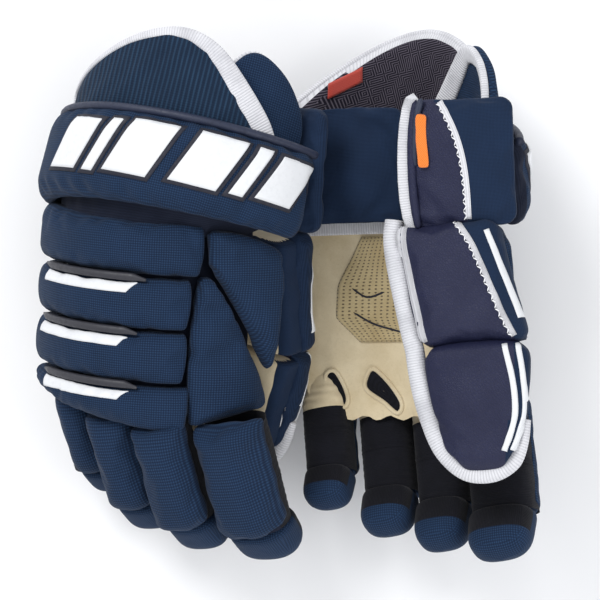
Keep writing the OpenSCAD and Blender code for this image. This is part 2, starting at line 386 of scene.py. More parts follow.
def woven(name, colour, light, pitch=2.1, depth=0.28):
    """Coarse nylon: threads that pass over and under, with painted highlight on the crowns and painted shade
    in the gaps, and lighter fibres here and there.
    """
    n = Nodes(name, colour, 0.85, Sheen_Weight=0.04, Sheen_Roughness=0.45, Specular_IOR_Level=0.16)
    weave = n.half(n.crossing(n.cloth(pitch, 45)))
    cloudy = n.noise(n.cloth(), 0.035, 4)
    fibres = n.noise(n.cloth(), 1.6, 2)
    base = n.mix(n.ramp(cloudy, 0.3, 0.7), scaled(colour, 0.86), scaled(colour, 1.12))
    # painted highlight: the crowns of the weave are mixed towards the lit colour light
    base = n.mix(n.ramp(weave, 0.55, 1.0, 0.0, 0.75), base, light)
    # painted shade: the gaps between the threads are made darker
    base = n.mix(n.ramp(weave, 0.42, 0.0, 0.0, 0.7), base, scaled(colour, 0.35))
    base = n.mix(n.ramp(fibres, 0.62, 0.8, 0.0, 0.25), base, light)
    n.paint(base)
    n.bump(weave, depth)
    n.bump(n.noise(n.cloth(), 0.09, 3), 0.5, 0.5)
    return n.material


def ribbed_cloth(name, colour, light):
    """Nylon knitted in fine upright ribs, with painted shade in the grooves and painted highlight on the
    ribs.
    """
    n = Nodes(name, colour, 0.85, Sheen_Weight=0.04, Specular_IOR_Level=0.15)
    rib = n.ribs(n.cloth(3.0), 0)
    # painted shade and painted highlight: darker in the grooves, towards the lit colour light on the ribs
    base = n.mix(n.ramp(rib, 0.4, 1.0), scaled(colour, 0.8), light)
    base = n.mix(n.ramp(n.noise(n.cloth(), 0.05, 3), 0.35, 0.7, 0, 0.5), base, scaled(colour, 0.7))
    n.paint(base)
    n.bump(rib, 0.3)
    n.bump(n.ribs(n.cloth(1.5), 1), 0.12)
    return n.material


def leather(name, colour, dark):
    """Grained synthetic leather with soft creases."""
    n = Nodes(name, colour, 0.58, Specular_IOR_Level=0.28)
    cells = n.node("TexVoronoi", feature="DISTANCE_TO_EDGE")
    cells.inputs["Scale"].default_value = 1 / 1.5
    n.link(n.solid(), cells.inputs["Vector"])
    edge = n.ramp(cells.outputs["Distance"], 0.0, 0.22)
    blot = n.noise(n.solid(), 0.045, 5)
    base = n.mix(n.ramp(blot, 0.35, 0.7, 0, 0.5), colour, dark)
    base = n.mix(n.ramp(edge, 0.0, 1.0, 0.35, 0.0), base, scaled(dark, 0.6))
    n.paint(base)
    n.rough(n.ramp(blot, 0.3, 0.75, 0.50, 0.68))
    n.bump(edge, 0.16)
    n.bump(n.noise(n.solid(), 0.12, 4), 0.7, 0.45)
    return n.material


def suede(name, colour, dark, holes=False):
    """Soft palm leather: nap, stretch marks and handling wear, with rows of fine holes where asked."""
    n = Nodes(name, colour, 0.88, Sheen_Weight=0.3, Sheen_Roughness=0.6, Specular_IOR_Level=0.2)
    blot = n.noise(n.solid(), 0.03, 6, 0.62)
    nap = n.noise(n.solid(), 0.9, 3)
    base = n.mix(n.ramp(blot, 0.38, 0.68, 0, 0.85), colour, dark)
    base = n.mix(n.ramp(nap, 0.55, 0.75, 0, 0.22), base, scaled(dark, 0.7))
    if holes:
        dots = n.ramp(n.crossing(n.cloth(3.4, 45)), 0.55, 0.8)
        base = n.mix(dots, base, scaled(dark, 0.35))
        n.bump(dots, -0.4)
    n.paint(base)
    n.bump(nap, 0.14)
    n.bump(n.noise(n.solid(), 0.07, 5, 0.6), 1.3, 0.5)
    return n.material


def knit(name, colour, light):
    """Stretch knit: fine upright columns of loops, with a painted highlight where the loops rise."""
    n = Nodes(name, colour, 0.92, Sheen_Weight=0.06, Specular_IOR_Level=0.2)
    columns = n.ribs(n.cloth(1.1), 0)
    # painted highlight: lighter where the loops rise
    base = n.mix(n.math("MULTIPLY", columns, n.ribs(n.cloth(0.9, 25), 1)), colour, light)
    base = n.mix(n.ramp(n.noise(n.cloth(), 0.05, 3), 0.4, 0.7, 0, 0.6), base, scaled(colour, 0.5))
    n.paint(base)
    n.bump(columns, 0.16)
    n.bump(n.noise(n.cloth(), 0.1, 3), 0.9, 0.5)
    return n.material


def binding_tape(name, colour, dark):
    """White woven tape with ribs across it, painted shade between the ribs, and a little blotchy dirt."""
    n = Nodes(name, colour, 0.75, Sheen_Weight=0.15)
    ribs = n.ribs(n.cloth(1.7), 0)
    dirt = n.noise(n.solid(), 0.05, 5, 0.6)
    base = n.mix(n.ramp(dirt, 0.45, 0.75, 0, 0.7), colour, dark)
    # painted shade: darker between the ribs
    base = n.mix(n.ramp(ribs, 0.45, 0.0, 0.0, 0.4), base, scaled(dark, 0.62))
    n.paint(base)
    n.bump(ribs, 0.25)
    n.bump(n.noise(n.cloth(), 0.2, 2), 0.3, 0.4)
    return n.material


def maze_lining(name, colour, line):
    """Printed lining: short strokes, each cell slanting one way or the other."""
    n = Nodes(name, colour, 0.85, Sheen_Weight=0.04, Specular_IOR_Level=0.2)
    whole, part = (n.node("VectorMath", operation=o) for o in ("FLOOR", "FRACTION"))
    for made in (whole, part):
        n.link(n.cloth(4.2, 30), made.inputs[0])
    pick = n.node("TexWhiteNoise", noise_dimensions="2D")
    n.link(whole.outputs[0], pick.inputs["Vector"])
    xy = n.node("SeparateXYZ")
    n.link(part.outputs[0], xy.inputs[0])
    way = n.math("GREATER_THAN", pick.outputs["Value"], 0.5)
    lean = n.math("ADD", xy.outputs[0], xy.outputs[1])
    other = n.math("SUBTRACT", xy.outputs[0], xy.outputs[1])
    rest = n.math("MULTIPLY", other, n.math("SUBTRACT", 1.0, way))
    mixed = n.math("ADD", n.math("MULTIPLY", lean, way), rest)
    stroke = n.math("SINE", n.math("MULTIPLY", mixed, 4 * math.pi))
    lines = n.ramp(stroke, 0.25, 0.6, 0, 0.8)
    n.paint(n.mix(lines, colour, line))
    n.bump(lines, 0.12)
    n.bump(n.noise(n.cloth(), 0.08, 3), 0.8, 0.5)
    return n.material


def webbing(name, colour, dark):
    """Flat woven strap, with painted shade between its ribs."""
    n = Nodes(name, colour, 0.6, Sheen_Weight=0.2)
    across = n.ribs(n.cloth(1.0, 55), 0)
    # painted shade: darker between the ribs
    n.paint(n.mix(across, dark, colour))
    n.bump(across, 0.2)
    return n.material


def vinyl(name, colour, dark, rough):
    """Smooth coated cloth or moulded rubber with light scuffs."""
    n = Nodes(name, colour, rough)
    scuff = n.noise(n.solid(), 0.35, 5, 0.65)
    n.paint(n.mix(n.ramp(scuff, 0.5, 0.75, 0, 0.5), colour, dark))
    n.rough(n.ramp(scuff, 0.35, 0.7, rough - 0.06, rough + 0.16))
    n.bump(scuff, 0.1)
    n.bump(n.noise(n.solid(), 0.1, 2), 0.4, 0.4)
    return n.material


NAVY = (0.0075, 0.0195, 0.050)
# lit copy of NAVY: the painted highlight on the weave's crowns, and the colour of its lighter fibres
NAVY_HIGHLIGHT_AND_FLECKS = (0.022, 0.056, 0.118)
# the second colour of woven, ribbed and knitted cloth is a lit copy of the first, used for painted highlight
# on its threads and, in woven cloth, for lighter fibres
MATS = {
    "navy": woven("navy_mesh_nylon", NAVY, NAVY_HIGHLIGHT_AND_FLECKS),
    "navy_fine": woven("navy_fine_nylon", (0.0075, 0.018, 0.046), (0.014, 0.034, 0.078), 1.2, 0.12),
    "deep": woven("deep_navy_nylon", (0.008, 0.011, 0.024), (0.016, 0.022, 0.042), 1.2, 0.12),
    "dome": ribbed_cloth("navy_ribbed_nylon", (0.0075, 0.019, 0.044), (0.016, 0.042, 0.082)),
    "piping_navy": vinyl("dark_navy_welt", (0.012, 0.018, 0.044), (0.007, 0.010, 0.024), 0.55),
    "slate": leather("slate_leather", (0.0140, 0.0168, 0.0500), (0.0095, 0.0110, 0.0345)),
    "cream": suede("cream_palm_leather", (0.66, 0.56, 0.38), (0.50, 0.40, 0.24)),
    "tan": suede("perforated_tan_leather", (0.50, 0.40, 0.22), (0.36, 0.27, 0.13), holes=True),
    "knit": knit("black_stretch_knit", (0.003, 0.0032, 0.006), (0.009, 0.0095, 0.016)),
    "tape": binding_tape("white_binding_tape", (0.64, 0.64, 0.67), (0.40, 0.40, 0.43)),
    "white": vinyl("white_vinyl", (0.68, 0.69, 0.71), (0.58, 0.59, 0.61), 0.4),
    "rubber": vinyl("charcoal_rubber", (0.026, 0.026, 0.034), (0.014, 0.014, 0.019), 0.5),
    "outline": vinyl("black_twill_edge", (0.010, 0.011, 0.022), (0.006, 0.006, 0.012), 0.7),
    "maze": maze_lining("printed_lining", (0.010, 0.008, 0.016), (0.13, 0.115, 0.145)),
    "orange": webbing("orange_webbing", (0.93, 0.26, 0.02), (0.62, 0.12, 0.01)),
    "red": webbing("red_label_cloth", (0.62, 0.07, 0.04), (0.40, 0.03, 0.02)),
    "thread_white": vinyl("white_thread", (0.78, 0.78, 0.80), (0.6, 0.6, 0.62), 0.6),
    "thread_navy": vinyl("navy_thread", (0.03, 0.05, 0.10), (0.015, 0.03, 0.06), 0.6),
    "thread_tan": vinyl("tan_thread", (0.42, 0.32, 0.18), (0.3, 0.22, 0.12), 0.6),
}


# ---- Mesh building -------------------------------------------------------


class Shape:
    """Points in mm, faces, cloth coordinates in mm for each face corner, and each face's material."""

    def __init__(self, points, faces, uv, materials, pinned=None):
        self.points = np.asarray(points, float)
        self.faces = faces
        self.uv = uv
        self.materials = materials
        self.pinned = pinned

    def into(self, m):
        """The shape taken through a 4x4."""
        self.points = moved(m, self.points)
        return self


def joined(shapes):
    """Several shapes as one."""
    points, faces, uv, materials, start = [], [], [], [], 0
    for s in shapes:
        points.append(s.points)
        faces += [tuple(i + start for i in f) for f in s.faces]
        uv += s.uv
        materials += s.materials
        start += len(s.points)
    return Shape(np.vstack(points), faces, uv, materials)


def grid(points, uv_u, uv_v, material, wrap=False, caps=False):
    """Surface over a grid of points [row][column]. wrap closes the columns into a ring and caps closes
    both ends. uv_u runs along the rows and uv_v along the columns, in mm."""
    points = np.asarray(points, float)
    rows, columns = points.shape[:2]
    last = columns if wrap else columns - 1
    faces, uv, materials = [], [], []
    for r in range(rows - 1):
        for c in range(last):
            corners = [(r, c), (r, c + 1), (r + 1, c + 1), (r + 1, c)]
            faces.append(tuple(i * columns + j % columns for i, j in corners))
            uv.append([(uv_u[i], uv_v[j]) for i, j in corners])
            materials.append(material(r, c) if callable(material) else material)
    flat = points.reshape(-1, 3)
    if wrap and caps:
        for r, order in ((0, -1), (rows - 1, 1)):
            ring = [r * columns + c for c in range(columns)][::order]
            faces.append(tuple(ring))
            uv.append([(uv_u[r], uv_v[c]) for c in range(columns)][::order])
            materials.append(materials[0 if r == 0 else -1])
    return Shape(flat, faces, uv, materials)


def quads(ids, flip, uv_at, paint):
    """Faces, cloth coordinates and materials over a grid of point numbers. flip turns the faces over."""
    faces, uv, materials = [], [], []
    for i in range(ids.shape[0] - 1):
        for j in range(ids.shape[1] - 1):
            spots = [(i, j), (i + 1, j), (i + 1, j + 1), (i, j + 1)]
            if flip:
                spots = spots[::-1]
            faces.append(tuple(int(ids[s]) for s in spots))
            uv.append([tuple(uv_at[s]) for s in spots])
            materials.append(paint(i, j))
    return faces, uv, materials


def tube(line, normals, profile, material, closed=False, taper=None):
    """Sweeps a closed profile [(across, out)] in mm along a line. out is along the normals. taper scales
    the profile at each point of the line, by one number or by (across, out)."""
    line = np.asarray(line, float)
    normals = unit(np.broadcast_to(normals, line.shape))
    ahead = np.roll(line, -1, 0) - np.roll(line, 1, 0)
    if not closed:
        ahead[0], ahead[-1] = line[1] - line[0], line[-1] - line[-2]
    ahead = unit(ahead)
    across = unit(np.cross(ahead, normals))
    out = np.cross(across, ahead)
    profile = np.asarray(profile, float)
    size = np.ones(len(line)) if taper is None else np.asarray(taper, float)
    size = np.broadcast_to(size.reshape(len(line), -1), (len(line), 2))
    rings = []
    for p, (wide, high), a, o in zip(line, size, across, out):
        rings.append(p + wide * profile[:, :1] * a + high * profile[:, 1:] * o)
    along = distances(line)
    if closed:
        rings.append(rings[0])
        along = np.r_[along, along[-1] + np.linalg.norm(line[-1] - line[0])]
    girth = distances(np.vstack([profile, profile[:1]]))
    return grid(rings, along, girth, material, wrap=True, caps=not closed)


def round_box(n, power, first=0.0):
    """n points round a box with rounded corners, from -1 to 1 both ways."""
    angle = 2 * math.pi * (np.arange(n) + first) / n
    way = np.column_stack([np.cos(angle), np.sin(angle)])
    return np.copysign(np.abs(way) ** (2 / power), way)


def oval(width, height, n=12, power=2.0):
    """Closed oval or rounded box, as a profile for tube()."""
    return (round_box(n, power, 0.5) * (width / 2, height / 2))[::-1]


def pillow(surface, corners, thick, under, radius, bulge, corner, cell=2.7, material="navy", *, seed,
           wrinkle, power=2.2, crown=0.0):
    """A stuffed pad with a seam all round. surface(across, along, height) gives a point. corners are the
    pad's outline on it, in mm: near left, near right, far right, far left. bulge bows each side outward."""
    a, b, c, d = (np.array(p, float) for p in corners)
    width = (np.linalg.norm(b - a) + np.linalg.norm(c - d)) / 2
    length = (np.linalg.norm(d - a) + np.linalg.norm(c - b)) / 2
    nu, nv = max(6, round(width / cell)), max(6, round(length / cell))
    u, v = spread(nu)[:, None], spread(nv)[None, :]

    def side(p, q, t, bow):
        along = q - p
        square = unit(np.array((along[1], -along[0])))
        return p + along * t[..., None] + square * (4 * t * (1 - t) * bow)[..., None]

    near, far = side(a, b, u, bulge[0]), side(d, c, u, -bulge[2])
    left, right = side(a, d, v, -bulge[3]), side(b, c, v, bulge[1])
    s, t = u[..., None], v[..., None]
    flat = (1 - t) * near + t * far + (1 - s) * left + s * right
    flat = flat - (1 - s) * (1 - t) * a - s * (1 - t) * b - s * t * c - (1 - s) * t * d
    du, dv = np.broadcast_arrays(np.minimum(u, 1 - u) * width, np.minimum(v, 1 - v) * length)
    # round corners: points near a corner move towards the middle
    middle = (a + b + c + d) / 4
    close = np.clip(1 - du / corner, 0, 1) ** 2 * np.clip(1 - dv / corner, 0, 1) ** 2
    pull = close * corner * 0.5 / (np.linalg.norm(middle - flat, axis=-1) + 1e-6)
    flat = flat + (middle - flat) * pull[..., None]
    lift = soft_edge(du, radius, power) * soft_edge(dv, radius, power)
    swell = 1 + crown * (1 - (2 * u - 1) ** 2) * (1 - (2 * v - 1) ** 2)
    nearest = np.minimum(du, dv)
    x, y = flat[..., 0], flat[..., 1]
    waves = ripple(x, y, seed) * wrinkle * np.exp(-nearest / 9.0) * soft_edge(nearest, 3.0)
    top = surface(x, y, thick * lift * swell + waves)
    bottom = surface(x, y, -under * soft_edge(nearest, 6.0))
    points = top.reshape(-1, 3).tolist()
    index = np.arange((nu + 1) * (nv + 1)).reshape(nu + 1, nv + 1)
    below = index.copy()
    for i in range(1, nu):
        for j in range(1, nv):
            below[i, j] = len(points)
            points.append(bottom[i, j])

    def paint(i, j):
        return material(i / nu, j / nv) if callable(material) else material

    both = zip(quads(index, False, flat, paint), quads(below, True, flat, paint))
    rim = np.zeros(len(points), bool)
    rim[[*index[0], *index[-1], *index[:, 0], *index[:, -1]]] = True
    return Shape(points, *(over + under_it for over, under_it in both), rim)


def add_object(name, data):
    """A new object in the scene."""
    made = bpy.data.objects.new(name, data)
    bpy.context.scene.collection.objects.link(made)
    return made


# how long and how hard the pads are filled, and how far their cloth may move in mm
FILL_FRAMES, FILL_PRESSURE, FILL_MOST = 20, 4.0, 1.7


def inflate(pads):
    """Fills all the pads with pressure, as one cloth whose seams are held. Each point moves FILL_MOST mm
    at most."""
    merged = joined(pads)
    data = bpy.data.meshes.new("filling")
    data.from_pydata((merged.points * MM).tolist(), [], merged.faces)
    filling = add_object("filling", data)
    seams = filling.vertex_groups.new(name="seams")
    seams.add(np.flatnonzero(np.concatenate([p.pinned for p in pads])).tolist(), 1.0, "REPLACE")
    cloth = filling.modifiers.new("fill", "CLOTH")
    s = cloth.settings
    s.quality, s.mass = 5, 0.2
    s.tension_stiffness = s.compression_stiffness = 12
    s.shear_stiffness, s.bending_stiffness = 4, 0.4
    s.shrink_min = -0.045
    s.use_pressure, s.uniform_pressure_force = True, FILL_PRESSURE
    s.vertex_group_mass = "seams"
    s.effector_weights.gravity = 0
    cloth.collision_settings.use_collision = False
    cloth.collision_settings.use_self_collision = False
    cloth.point_cache.frame_start, cloth.point_cache.frame_end = 1, FILL_FRAMES
    for f in range(1, FILL_FRAMES + 1):
        bpy.context.scene.frame_set(f)
    done = filling.evaluated_get(bpy.context.evaluated_depsgraph_get())
    co = np.zeros(len(merged.points) * 3)
    done.data.vertices.foreach_get("co", co)
    step = co.reshape(-1, 3) / MM - merged.points
    far = np.linalg.norm(step, axis=1, keepdims=True)
    step = step * np.minimum(1, FILL_MOST / np.maximum(far, 1e-9))
    start = 0
    for p in pads:
        p.points = p.points + step[start : start + len(p.points)]
        start += len(p.points)
    bpy.context.scene.frame_set(1)
    bpy.data.objects.remove(filling)


def mesh_from(name, shape, subdivide=0):
    """A Blender mesh in metres in the right glove's frame, with its materials and cloth coordinates."""
    data = bpy.data.meshes.new(name)
    data.from_pydata((shape.points * MM).tolist(), [], shape.faces)
    layer = data.uv_layers.new(name="Weave")
    layer.data.foreach_set("uv", np.array([c for f in shape.uv for c in f], np.float32).ravel())
    used = sorted(set(shape.materials))
    for m in used:
        data.materials.append(MATS[m])
    data.polygons.foreach_set("material_index", [used.index(m) for m in shape.materials])
    data.polygons.foreach_set("use_smooth", [True] * len(data.polygons))
    work = bmesh.new()
    work.from_mesh(data)
    bmesh.ops.recalc_face_normals(work, faces=work.faces)
    work.to_mesh(data)
    work.free()
    if not subdivide:
        return data
    helper = add_object("helper", data)
    finer = helper.modifiers.new("finer", "SUBSURF")
    finer.levels = finer.render_levels = subdivide
    done = helper.evaluated_get(bpy.context.evaluated_depsgraph_get())
    fine = bpy.data.meshes.new_from_object(done)
    fine.name = name
    bpy.data.objects.remove(helper)
    return fine


def carried(data, m):
    """A copy of the mesh taken through a 4x4 in mm."""
    copy = data.copy()
    m = m.copy()
    m[:3, 3] *= MM
    copy.transform(Matrix(m.tolist()))
    return copy


def place(side, name, data, m):
    """A copy of the mesh on one glove, as an object. m is its frame in the glove's frame."""
    m = GLOVE[side] @ m
    copy = carried(data, m)
    if np.linalg.det(m[:3, :3]) < 0:
        copy.flip_normals()
    return add_object(f"{side}_{name}", copy)


class Skin:
    """The outer surface of a mesh, to lay trim on."""

    def __init__(self, data):
        points = [v.co / MM for v in data.vertices]
        self.tree = BVHTree.FromPolygons(points, [list(p.vertices) for p in data.polygons])

    def drop(self, points, inward, reach, off=0.0):
        """Each point moved along inward until it meets the surface, from reach outside it, and the
        normals there."""
        points, inward = np.asarray(points, float), unit(np.broadcast_to(inward, np.shape(points)))
        spots, normals = np.array(points), -np.array(inward)
        for k in np.ndindex(*points.shape[:-1]):
            hit = self.tree.ray_cast(Vector(points[k] - inward[k] * reach), Vector(inward[k]), reach * 2)
            if hit[0] is None:
                hit = self.tree.find_nearest(Vector(points[k] + inward[k] * reach))
            normal = np.array(hit[1])
            normals[k] = normal if normal @ inward[k] < 0 else -normal
            spots[k] = np.array(hit[0]) + normals[k] * off
        return spots, normals


# how far the turned-down edge of a piece of trim reaches into its pad
SUNK = 0.8


def patch(points, normals, thickness, material):
    """A thin piece of trim: a grid of points off the surface, with its edges turned down into it."""
    points, normals = np.asarray(points, float), unit(normals)
    top = points + normals * thickness
    framed = np.pad(points - normals * SUNK, ((1, 1), (1, 1), (0, 0)), "edge")
    framed[1:-1, 1:-1] = top
    u, v = distances(top[:, 0]), distances(top[0])
    return grid(framed, np.r_[-1, u, u[-1] + 1], np.r_[-1, v, v[-1] + 1], material)


def stitches(line, normals, material, long, gap, radius, zigzag=0.0):
    """Thread along a line: a small bead for each stitch, leaning one way and the other for a zigzag."""
    line, normals = np.asarray(line, float), unit(normals)
    count = max(2, int(distances(line)[-1] / (long + gap)))
    fine = resample(np.hstack([line, normals]), count * 2 + 1)
    beads = []
    for k in range(count):
        start, end = fine[2 * k], fine[2 * k + 1]
        n = unit(start[3:] + end[3:])
        ahead = unit(end[:3] - start[:3])
        side = np.cross(n, ahead) * zigzag * (1 if k % 2 else -1)
        middle = (start[:3] + end[:3]) / 2
        half = ahead * long / 2
        a, b = middle - half + side, middle + half - side
        step, up = (b - a) * 0.2, n * radius * 0.6
        path = [a - n * 0.2, a + step + up, b - step + up, b - n * 0.2]
        beads.append(tube(path, n, oval(radius * 2, radius * 1.6, 6), material, taper=(0.5, 1, 1, 0.5)))
    return joined(beads)


# ---- Back of the hand ----------------------------------------------------


def on_arch(centre, seam, reference):
    """Surface for pads on an arch: across is measured along the arch at the reference radius."""
    return lambda s, t, h: arch(centre, seam + h, np.degrees(s / reference), t)


def on_tilted(centre, seam, reference):
    """Surface for pads laid out on the tilted plane: across is measured square to that plane's edge."""
    return lambda s, t, h: arch(centre, seam + h, tilted_angle(centre, reference, s), t)


def around(radius, degrees):
    """Length along an arch of that radius from its crown to that angle."""
    return math.radians(degrees) * radius


PAD_HEIGHT = 11.0
ROLL_SEAM = HAND_R - PAD_HEIGHT - 1


def roll_ends_y(number):
    """The two edges of a roll along the hand."""
    middle = ROLL_1_Y - (number - 1) * ROLL_PITCH
    return middle - ROLL_LEN / 2, middle + ROLL_LEN / 2


def make_rolls():
    pads = {}
    for number in range(1, 5):
        near, far = roll_ends_y(number)
        left, right = around(HAND_R, LITTLE_SIDE), around(HAND_R, ROLL_ENDS[number - 1])
        if number == 4:
            corners = [(left, -58), (right, -80.5), (right + 3, far + 0.6), (left, far + 0.6)]
            bulge = (3, 0, 0, 3)
        else:
            reach = 5 if number == 1 else 0.6
            corners = [(left, near - 0.6), (right, near - 0.6), (right + 2, far + 0.6), (left, far + reach)]
            bulge = (0, 0.8, 0, 2)
        surface = on_arch(HAND_C, ROLL_SEAM, HAND_R)
        pads[f"roll_{number}"] = pillow(
            surface, corners, PAD_HEIGHT, 7, 12, bulge, 5, seed=number, wrinkle=0.55, power=2.5)
    return pads


def make_side_pads():
    web = on_tilted(HAND_C, HAND_R - PAD_HEIGHT, HAND_R + 1)
    web_corners = [(11, -76.5), (63, -66), (21.5, 21), (14, 21)]
    back = on_tilted(THUMB_BACK_C, THUMB_BACK_R - PAD_HEIGHT, THUMB_BACK_R)
    back_corners = [(18.5, 27.5), (63, -43), (65.5, 37), (16.5, 51)]
    look = {"wrinkle": 0.7, "power": 2.5}
    return {
        "web_pad": pillow(web, web_corners, PAD_HEIGHT, 6, 12, (0, 5, 0, 4.5), 6, seed=11, **look),
        "thumb_back_pad": pillow(back, back_corners, PAD_HEIGHT, 6, 13, (-2, 1, 4, 0), 7, seed=12, **look),
    }


def shell_section():
    """Closed outline of the cloth body of the hand, as (x, z)."""
    radius = ROLL_SEAM - 6
    over = arch(HAND_C, radius, np.linspace(-76, 80, 26), 0)[:, [0, 2]]
    x = np.linspace(20, -80, 18)
    under = np.column_stack([x, palm_height(x) + 2.2])
    return curve(np.vstack([over, under]), 72, closed=True)


def palm_height(x):
    """Height of the palm, which is slightly hollow, at x."""
    return PALM_CROWN - PALM_R + np.sqrt(PALM_R**2 - (np.asarray(x) - HAND_C[0]) ** 2)


def make_shell():
    section = shell_section()[:-1]
    rows = np.linspace(61, -66, 32)
    middle = section.mean(0)
    points = []
    for y in rows:
        s = middle + (section - middle) * (1.0 if y > -50 else 1 - 0.10 * ((-50 - y) / 14) ** 2)
        points.append(xyz(s[:, 0], y, s[:, 1]))
    reach = np.linspace(0, 330, len(section) + 1)
    return grid(points, rows, reach, "deep", wrap=True)


def make_liner():
    degrees = np.linspace(-70, 58, 40)[None, :]
    y = np.linspace(50 - LINER_LONG, 50, 30)[:, None]
    radius = HAND_R - ROLL_T - 1.2 + 0.5 * ripple(degrees * 1.1, y, 31)
    points = arch(HAND_C, radius, degrees, y)
    return grid(points, np.linspace(0, LINER_LONG, 30), np.linspace(0, 138, 40), "maze")


# ---- Cuff ----------------------------------------------------------------


def make_cuff_roll():
    left, right = (around(CUFF_R, e) for e in CUFF_ENDS)
    near, far = CUFF_SHIFT - CUFF_LEN / 2, CUFF_SHIFT + CUFF_LEN / 2
    corners = [(left, near - 5), (right, near + 6), (right - 3, far + 2), (left, far - 6)]

    def paint(u, v):
        return "deep" if u > 0.945 else "navy"

    return pillow(
        on_arch((0, 0), CUFF_R - PAD_HEIGHT - 0.5, CUFF_R), corners, PAD_HEIGHT, 4.6, 15, (0, 0, 2, 2), 8,
        3.0, paint, seed=21, wrinkle=0.5).into(CUFF)


def flare_radius(outer, y):
    """Radius of a guard at y: it widens towards its outer edge, where it is outer."""
    return outer - FLARE_GROW * (FLARE_LONG - y) / (FLARE_LONG - FLARE_FROM)


def flare_point(outer, across, y, inward):
    """Point on a flare in the cuff's frame. across is measured on the tilted plane."""
    radius = flare_radius(outer, y)
    degrees = PAD_TILT + np.degrees(np.arcsin(np.clip(across / radius, -0.992, 0.992)))
    return arch((0, 0), radius - inward, degrees, y), degrees


def fan_pad(outer, centre, outline, thick, seed, front, back):
    """A padded guard: two skins that spread from the middle of its root to the outline, where they join."""
    edge = curve(outline, 64)
    edge = edge[edge[:, 1] >= FLARE_FROM - 0.01]
    reach = 1 - (1 - np.linspace(0.02, 1, 20)) ** 1.25
    flat = np.array(centre) + reach[:, None, None] * (edge[None] - np.array(centre))
    x, y = flat[..., 0], flat[..., 1]
    gap = (1 - reach)[:, None] * np.linalg.norm(edge - np.array(centre), axis=1)[None]
    puff = soft_edge(gap, 7, 2.4)
    wave = ripple(x, y, seed) * 0.5 * soft_edge(gap, 10)
    out, degrees = flare_point(outer, x, y, 3.2 - 2.7 * puff + wave)
    depth = thick(degrees)
    inner, _ = flare_point(outer, x, y, 3.2 + (depth - 3.2) * puff + wave)
    low = np.arange(x.size).reshape(x.shape)
    high = low + x.size
    high[-1] = low[-1]
    outside = quads(low, True, flat, lambda i, j: front(gap[i, j]))
    inside = quads(high, False, flat, lambda i, j: back(gap[i, j]))
    points = np.vstack([out.reshape(-1, 3), inner[:-1].reshape(-1, 3)])
    return Shape(points, *(a + b for a, b in zip(outside, inside))).into(CUFF)


DOME_R = CUFF_R - 4
DOME_ROOT = (-22.0, FLARE_FROM)
DOME_LINE = [(-92, FLARE_FROM), (-89, 46), (-80, 60), (-62, 75), (-42, 85.5), (-24, 90), (-8, 88.5),
             (8, 81), (28, 64), (44, 48), (52, FLARE_FROM)]
SIDE_R = DOME_R - FLARE_T - 1
SIDE_ROOT = (46.0, FLARE_FROM)
SIDE_LINE = [(-12, FLARE_FROM), (0, 56), (11, 74), (21, 87), (32, 89), (46, 82), (57, 71), (65, 56),
             (67, FLARE_FROM)]
# widths of the white tape, at shares of the way along those lines
DOME_TAPE = [(0, 3), (0.3, 4.5), (0.52, 7.5), (0.66, 11), (0.8, 13.5), (1, 14)]
SIDE_TAPE = [(0, 14), (0.3, 14), (0.5, 12), (0.62, 6), (1, 4)]


def make_dome():
    def thick(degrees):
        return np.interp(degrees, (-2, 8), (FLARE_T + 3.0, FLARE_T - 0.5))

    def back(gap):
        return "tape" if gap < 3.5 else "maze"

    return fan_pad(DOME_R, DOME_ROOT, DOME_LINE, thick, 22, lambda gap: "dome", back)


def make_side_flare():
    def navy(gap):
        return "navy"

    return fan_pad(SIDE_R, SIDE_ROOT, SIDE_LINE, lambda degrees: FLARE_T, 23, navy, navy)


def edge_binding(outer, root, line, widths, thick, inward):
    """Wide tape folded over the edge of a guard. widths is (share of the way, width) along the line."""
    edge = curve(line, 80)
    width = np.interp(np.linspace(0, 1, len(edge)), *zip(*widths))
    middle = edge + side_facing(edge, root) * (width / 2 - 1.2)[:, None]
    points, degrees = flare_point(outer, middle[:, 0], middle[:, 1], inward)
    size = np.column_stack([width, np.full(len(width), thick)])
    return tube(points, outward(degrees), oval(1.0, 1.0, 16, 3.5), "tape", taper=size).into(CUFF)


def make_cuff_lining():
    degrees = np.linspace(-70, 70, 44)[None, :]
    y = np.linspace(37 - LINING_LONG, 37, 16)[:, None]
    radius = CUFF_R - CUFF_T - 2.8 + 0.4 * ripple(degrees * 1.4, y, 24)
    points = arch((0, 0), radius, degrees, y)
    return grid(points, np.linspace(0, 62, 16), np.linspace(0, 200, 44), "maze").into(CUFF)


def make_gusset():
    """Loose cloth that closes the gap between the back of the hand and the cuff."""
    degrees = np.linspace(-68, 62, 60)
    t = np.linspace(0, 1, 12)[:, None, None]
    hand = arch(HAND_C, HAND_R - 10, degrees, 46)
    cuff = moved(CUFF, arch((0, 0), CUFF_R - CUFF_T + 1, degrees, -14))
    points = hand * (1 - t) + cuff * t
    fold = 1.5 * np.sin(t[..., 0] * math.pi) * (1 + np.sin(np.radians(degrees) * 30 + t[..., 0] * 3) * 0.35)
    points[..., 2] -= fold
    return grid(points, np.linspace(0, GUSSET_LONG, 12), np.linspace(0, 180, 60), "deep")


def make_wrist_panel():
    x, y = WRIST_SIZE[0] / 2, WRIST_SIZE[1] / 2
    corners = [(-x, -y), (x, -y), (x, y), (-x, y)]

    def surface(s, t, h):
        return xyz(WRIST_AT[0] - s, WRIST_AT[1] + t, WRIST_AT[2] + 1 - h)

    return pillow(surface, corners, 3.6, 3.2, 7, (0, 0, 2, 0), 8, 3.0, "navy_fine", seed=25, wrinkle=0.9)


def flap_border(y):
    """Where the leather of the flap meets its nylon."""
    return 1 - 17 * np.clip((y + 39) / 78, 0, 1) ** 3


